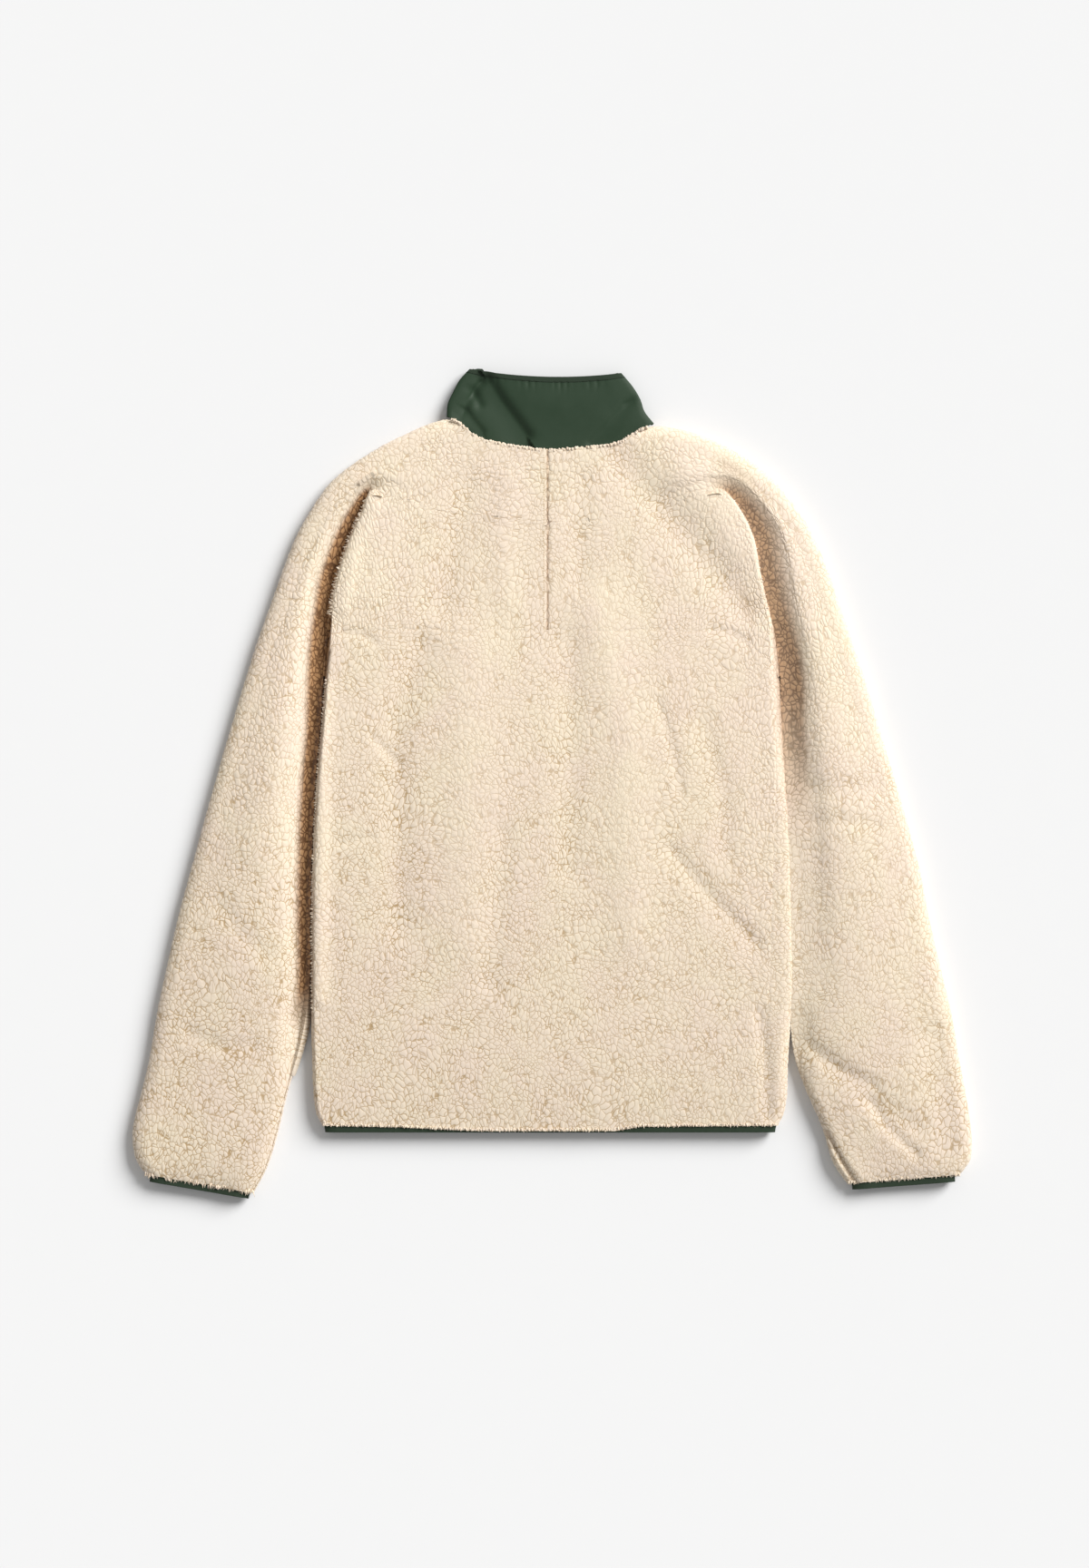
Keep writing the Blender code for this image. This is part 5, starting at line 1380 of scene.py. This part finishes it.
def add_block(mesh, low, high, rounding):
    """A block with rounded edges between two corners, in plan millimetres."""
    low, high = np.array(low, float), np.array(high, float)
    made = bmesh.ops.create_cube(mesh, size=1.0)["verts"]
    bmesh.ops.scale(mesh, vec=(high - low) * MM, verts=made)
    bmesh.ops.translate(mesh, vec=((low + high) / 2 + PLAN_SHIFT) * MM, verts=made)
    edges = list({edge for vert in made for edge in vert.link_edges})
    bmesh.ops.bevel(mesh, geom=edges, offset=rounding * MM, segments=2, profile=0.5,
                    affect="EDGES", material=-1)


def add_bar(mesh, x0, x1, y, z, radius, bore=0.0, sides=20):
    """A round bar or tube along X."""
    turn = Matrix.Rotation(math.pi / 2, 4, "Y")
    middle = Vector((np.array(((x0 + x1) / 2, y, z)) + PLAN_SHIFT) * MM)
    place = Matrix.Translation(middle) @ turn
    if not bore:
        bmesh.ops.create_cone(mesh, cap_ends=True, segments=sides, radius1=radius * MM,
                              radius2=radius * MM, depth=(x1 - x0) * MM, matrix=place)
        return
    rings = []
    for size in (bore, radius):
        for end in (-0.5, 0.5):
            shift = Matrix.Translation((0, 0, end * (x1 - x0) * MM))
            rings.append(bmesh.ops.create_circle(mesh, segments=sides, radius=size * MM,
                                                 matrix=place @ shift)["verts"])
    loops = [list({edge for vert in ring for edge in vert.link_edges}) for ring in rings]
    for first, second in ((0, 1), (1, 3), (3, 2), (2, 0)):
        bmesh.ops.bridge_loops(mesh, edges=loops[first] + loops[second])


def finish_metal(name, solid_name, mesh, material, body="jacket"):
    bmesh.ops.recalc_face_normals(mesh, faces=mesh.faces)
    thing = show(name, mesh, material)
    thing.data.shade_smooth()
    thing.data.set_sharp_from_angle(angle=math.radians(50))
    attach(thing, body)
    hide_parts(solid_name)
    return thing


# The tapes are sewn to the fronts.
for name, side in (("zip_tape_left", -1), ("zip_tape_right", 1)):
    tape_x = side * np.linspace(TAPE_IN, TAPE_OUT, 6)[None, :]
    tape_y = np.linspace(ZIP_FOOT_Y, ZIP_HEAD_Y, 240)[:, None]
    tape_z = TAPE_MIDDLE_Z - TAPE_WALL / 2 + 0.12 * np.sin(tape_y / 7.3) * (abs(tape_x) / TAPE_OUT)
    mesh = bmesh.new()
    add_grid(mesh, np.stack(np.broadcast_arrays(tape_x, tape_y, tape_z), 2))
    bmesh.ops.solidify(mesh, geom=mesh.faces[:], thickness=TAPE_WALL * MM)
    tape = finish_metal(name + "_woven", name, mesh, zip_tape)

mesh = bmesh.new()
for side in (-1, 1):
    inner, outer = sorted((-side * 0.7, side * 2.7))
    tooth = one_shape("tooth", lambda mesh: add_block(
        mesh, (inner, 0, 4.0), (outer, 1.25, 6.2), 0.22))
    start = BOX_END_Y + 0.5 + (TOOTH_PITCH / 2 if side > 0 else 0)
    for foot_y in np.arange(start, POST_Y - 1.8, TOOTH_PITCH):
        add_copy(mesh, tooth, Matrix.Translation((0, foot_y * MM, 0)))
finish_metal("zip_teeth_rows", "zip_chain", mesh, zip_teeth)

mesh = bmesh.new()
add_block(mesh, (-2.7, ZIP_FOOT_Y, 3.4), (2.7, BOX_END_Y, 6.8), 0.45)
add_block(mesh, (-1.1, ZIP_FOOT_Y + 1.2, 3.25), (1.1, BOX_END_Y - 1.2, 3.6), 0.12)
finish_metal("zip_box_moulded", "zip_box", mesh, zip_metal)

mesh = bmesh.new()
for low, high in ((SLIDER_LOW, SLIDER_LOW + PLATE_WALL), (SLIDER_HIGH - PLATE_WALL, SLIDER_HIGH)):
    add_block(mesh, (-3.5, SLIDER_FOOT_Y, low), (3.5, SLIDER_HEAD_Y - 2, high), 0.3)
    add_block(mesh, (-SLIDER_HALF_WIDTH, SLIDER_FOOT_Y + 4.2, low),
              (SLIDER_HALF_WIDTH, SLIDER_HEAD_Y, high), 0.3)
add_block(mesh, (-1.6, POST_Y, SLIDER_LOW + 0.2), (1.6, SLIDER_HEAD_Y, SLIDER_HIGH - 0.2), 0.2)
add_block(mesh, (-0.9, PIN_Y - 1.1, PIN_Z - 0.5), (0.9, PIN_Y + 1.1, SLIDER_LOW + 0.3), 0.25)
add_bar(mesh, -TAB_HALF_WIDTH, TAB_HALF_WIDTH, PIN_Y, PIN_Z, PIN_RADIUS)
finish_metal("zip_slider_cast", "zip_slider", mesh, zip_metal)

mesh = bmesh.new()
tab_low = PIN_Z - TAB_WALL
add_block(mesh, (-TAB_HALF_WIDTH, PIN_Y - TAB_LENGTH, tab_low),
          (TAB_HALF_WIDTH, PIN_Y - 2.6, PIN_Z), 0.3)
add_block(mesh, (-TAB_HALF_WIDTH + 1.0, PIN_Y - TAB_LENGTH + 1.2, tab_low - 0.12),
          (TAB_HALF_WIDTH - 1.0, PIN_Y - 6.0, PIN_Z + 0.12), 0.1)
for side in (-1, 1):
    inner, outer = sorted((side * EYE_IN, side * TAB_HALF_WIDTH))
    add_block(mesh, (inner, PIN_Y - 3.0, tab_low), (outer, PIN_Y - 0.75, PIN_Z), 0.2)
    add_bar(mesh, inner, outer, PIN_Y, PIN_Z, EYE_RADIUS, bore=PIN_RADIUS + 0.12)
finish_metal("pull_tab_cast", "pull_tab", mesh, zip_metal, body="pull_tab")
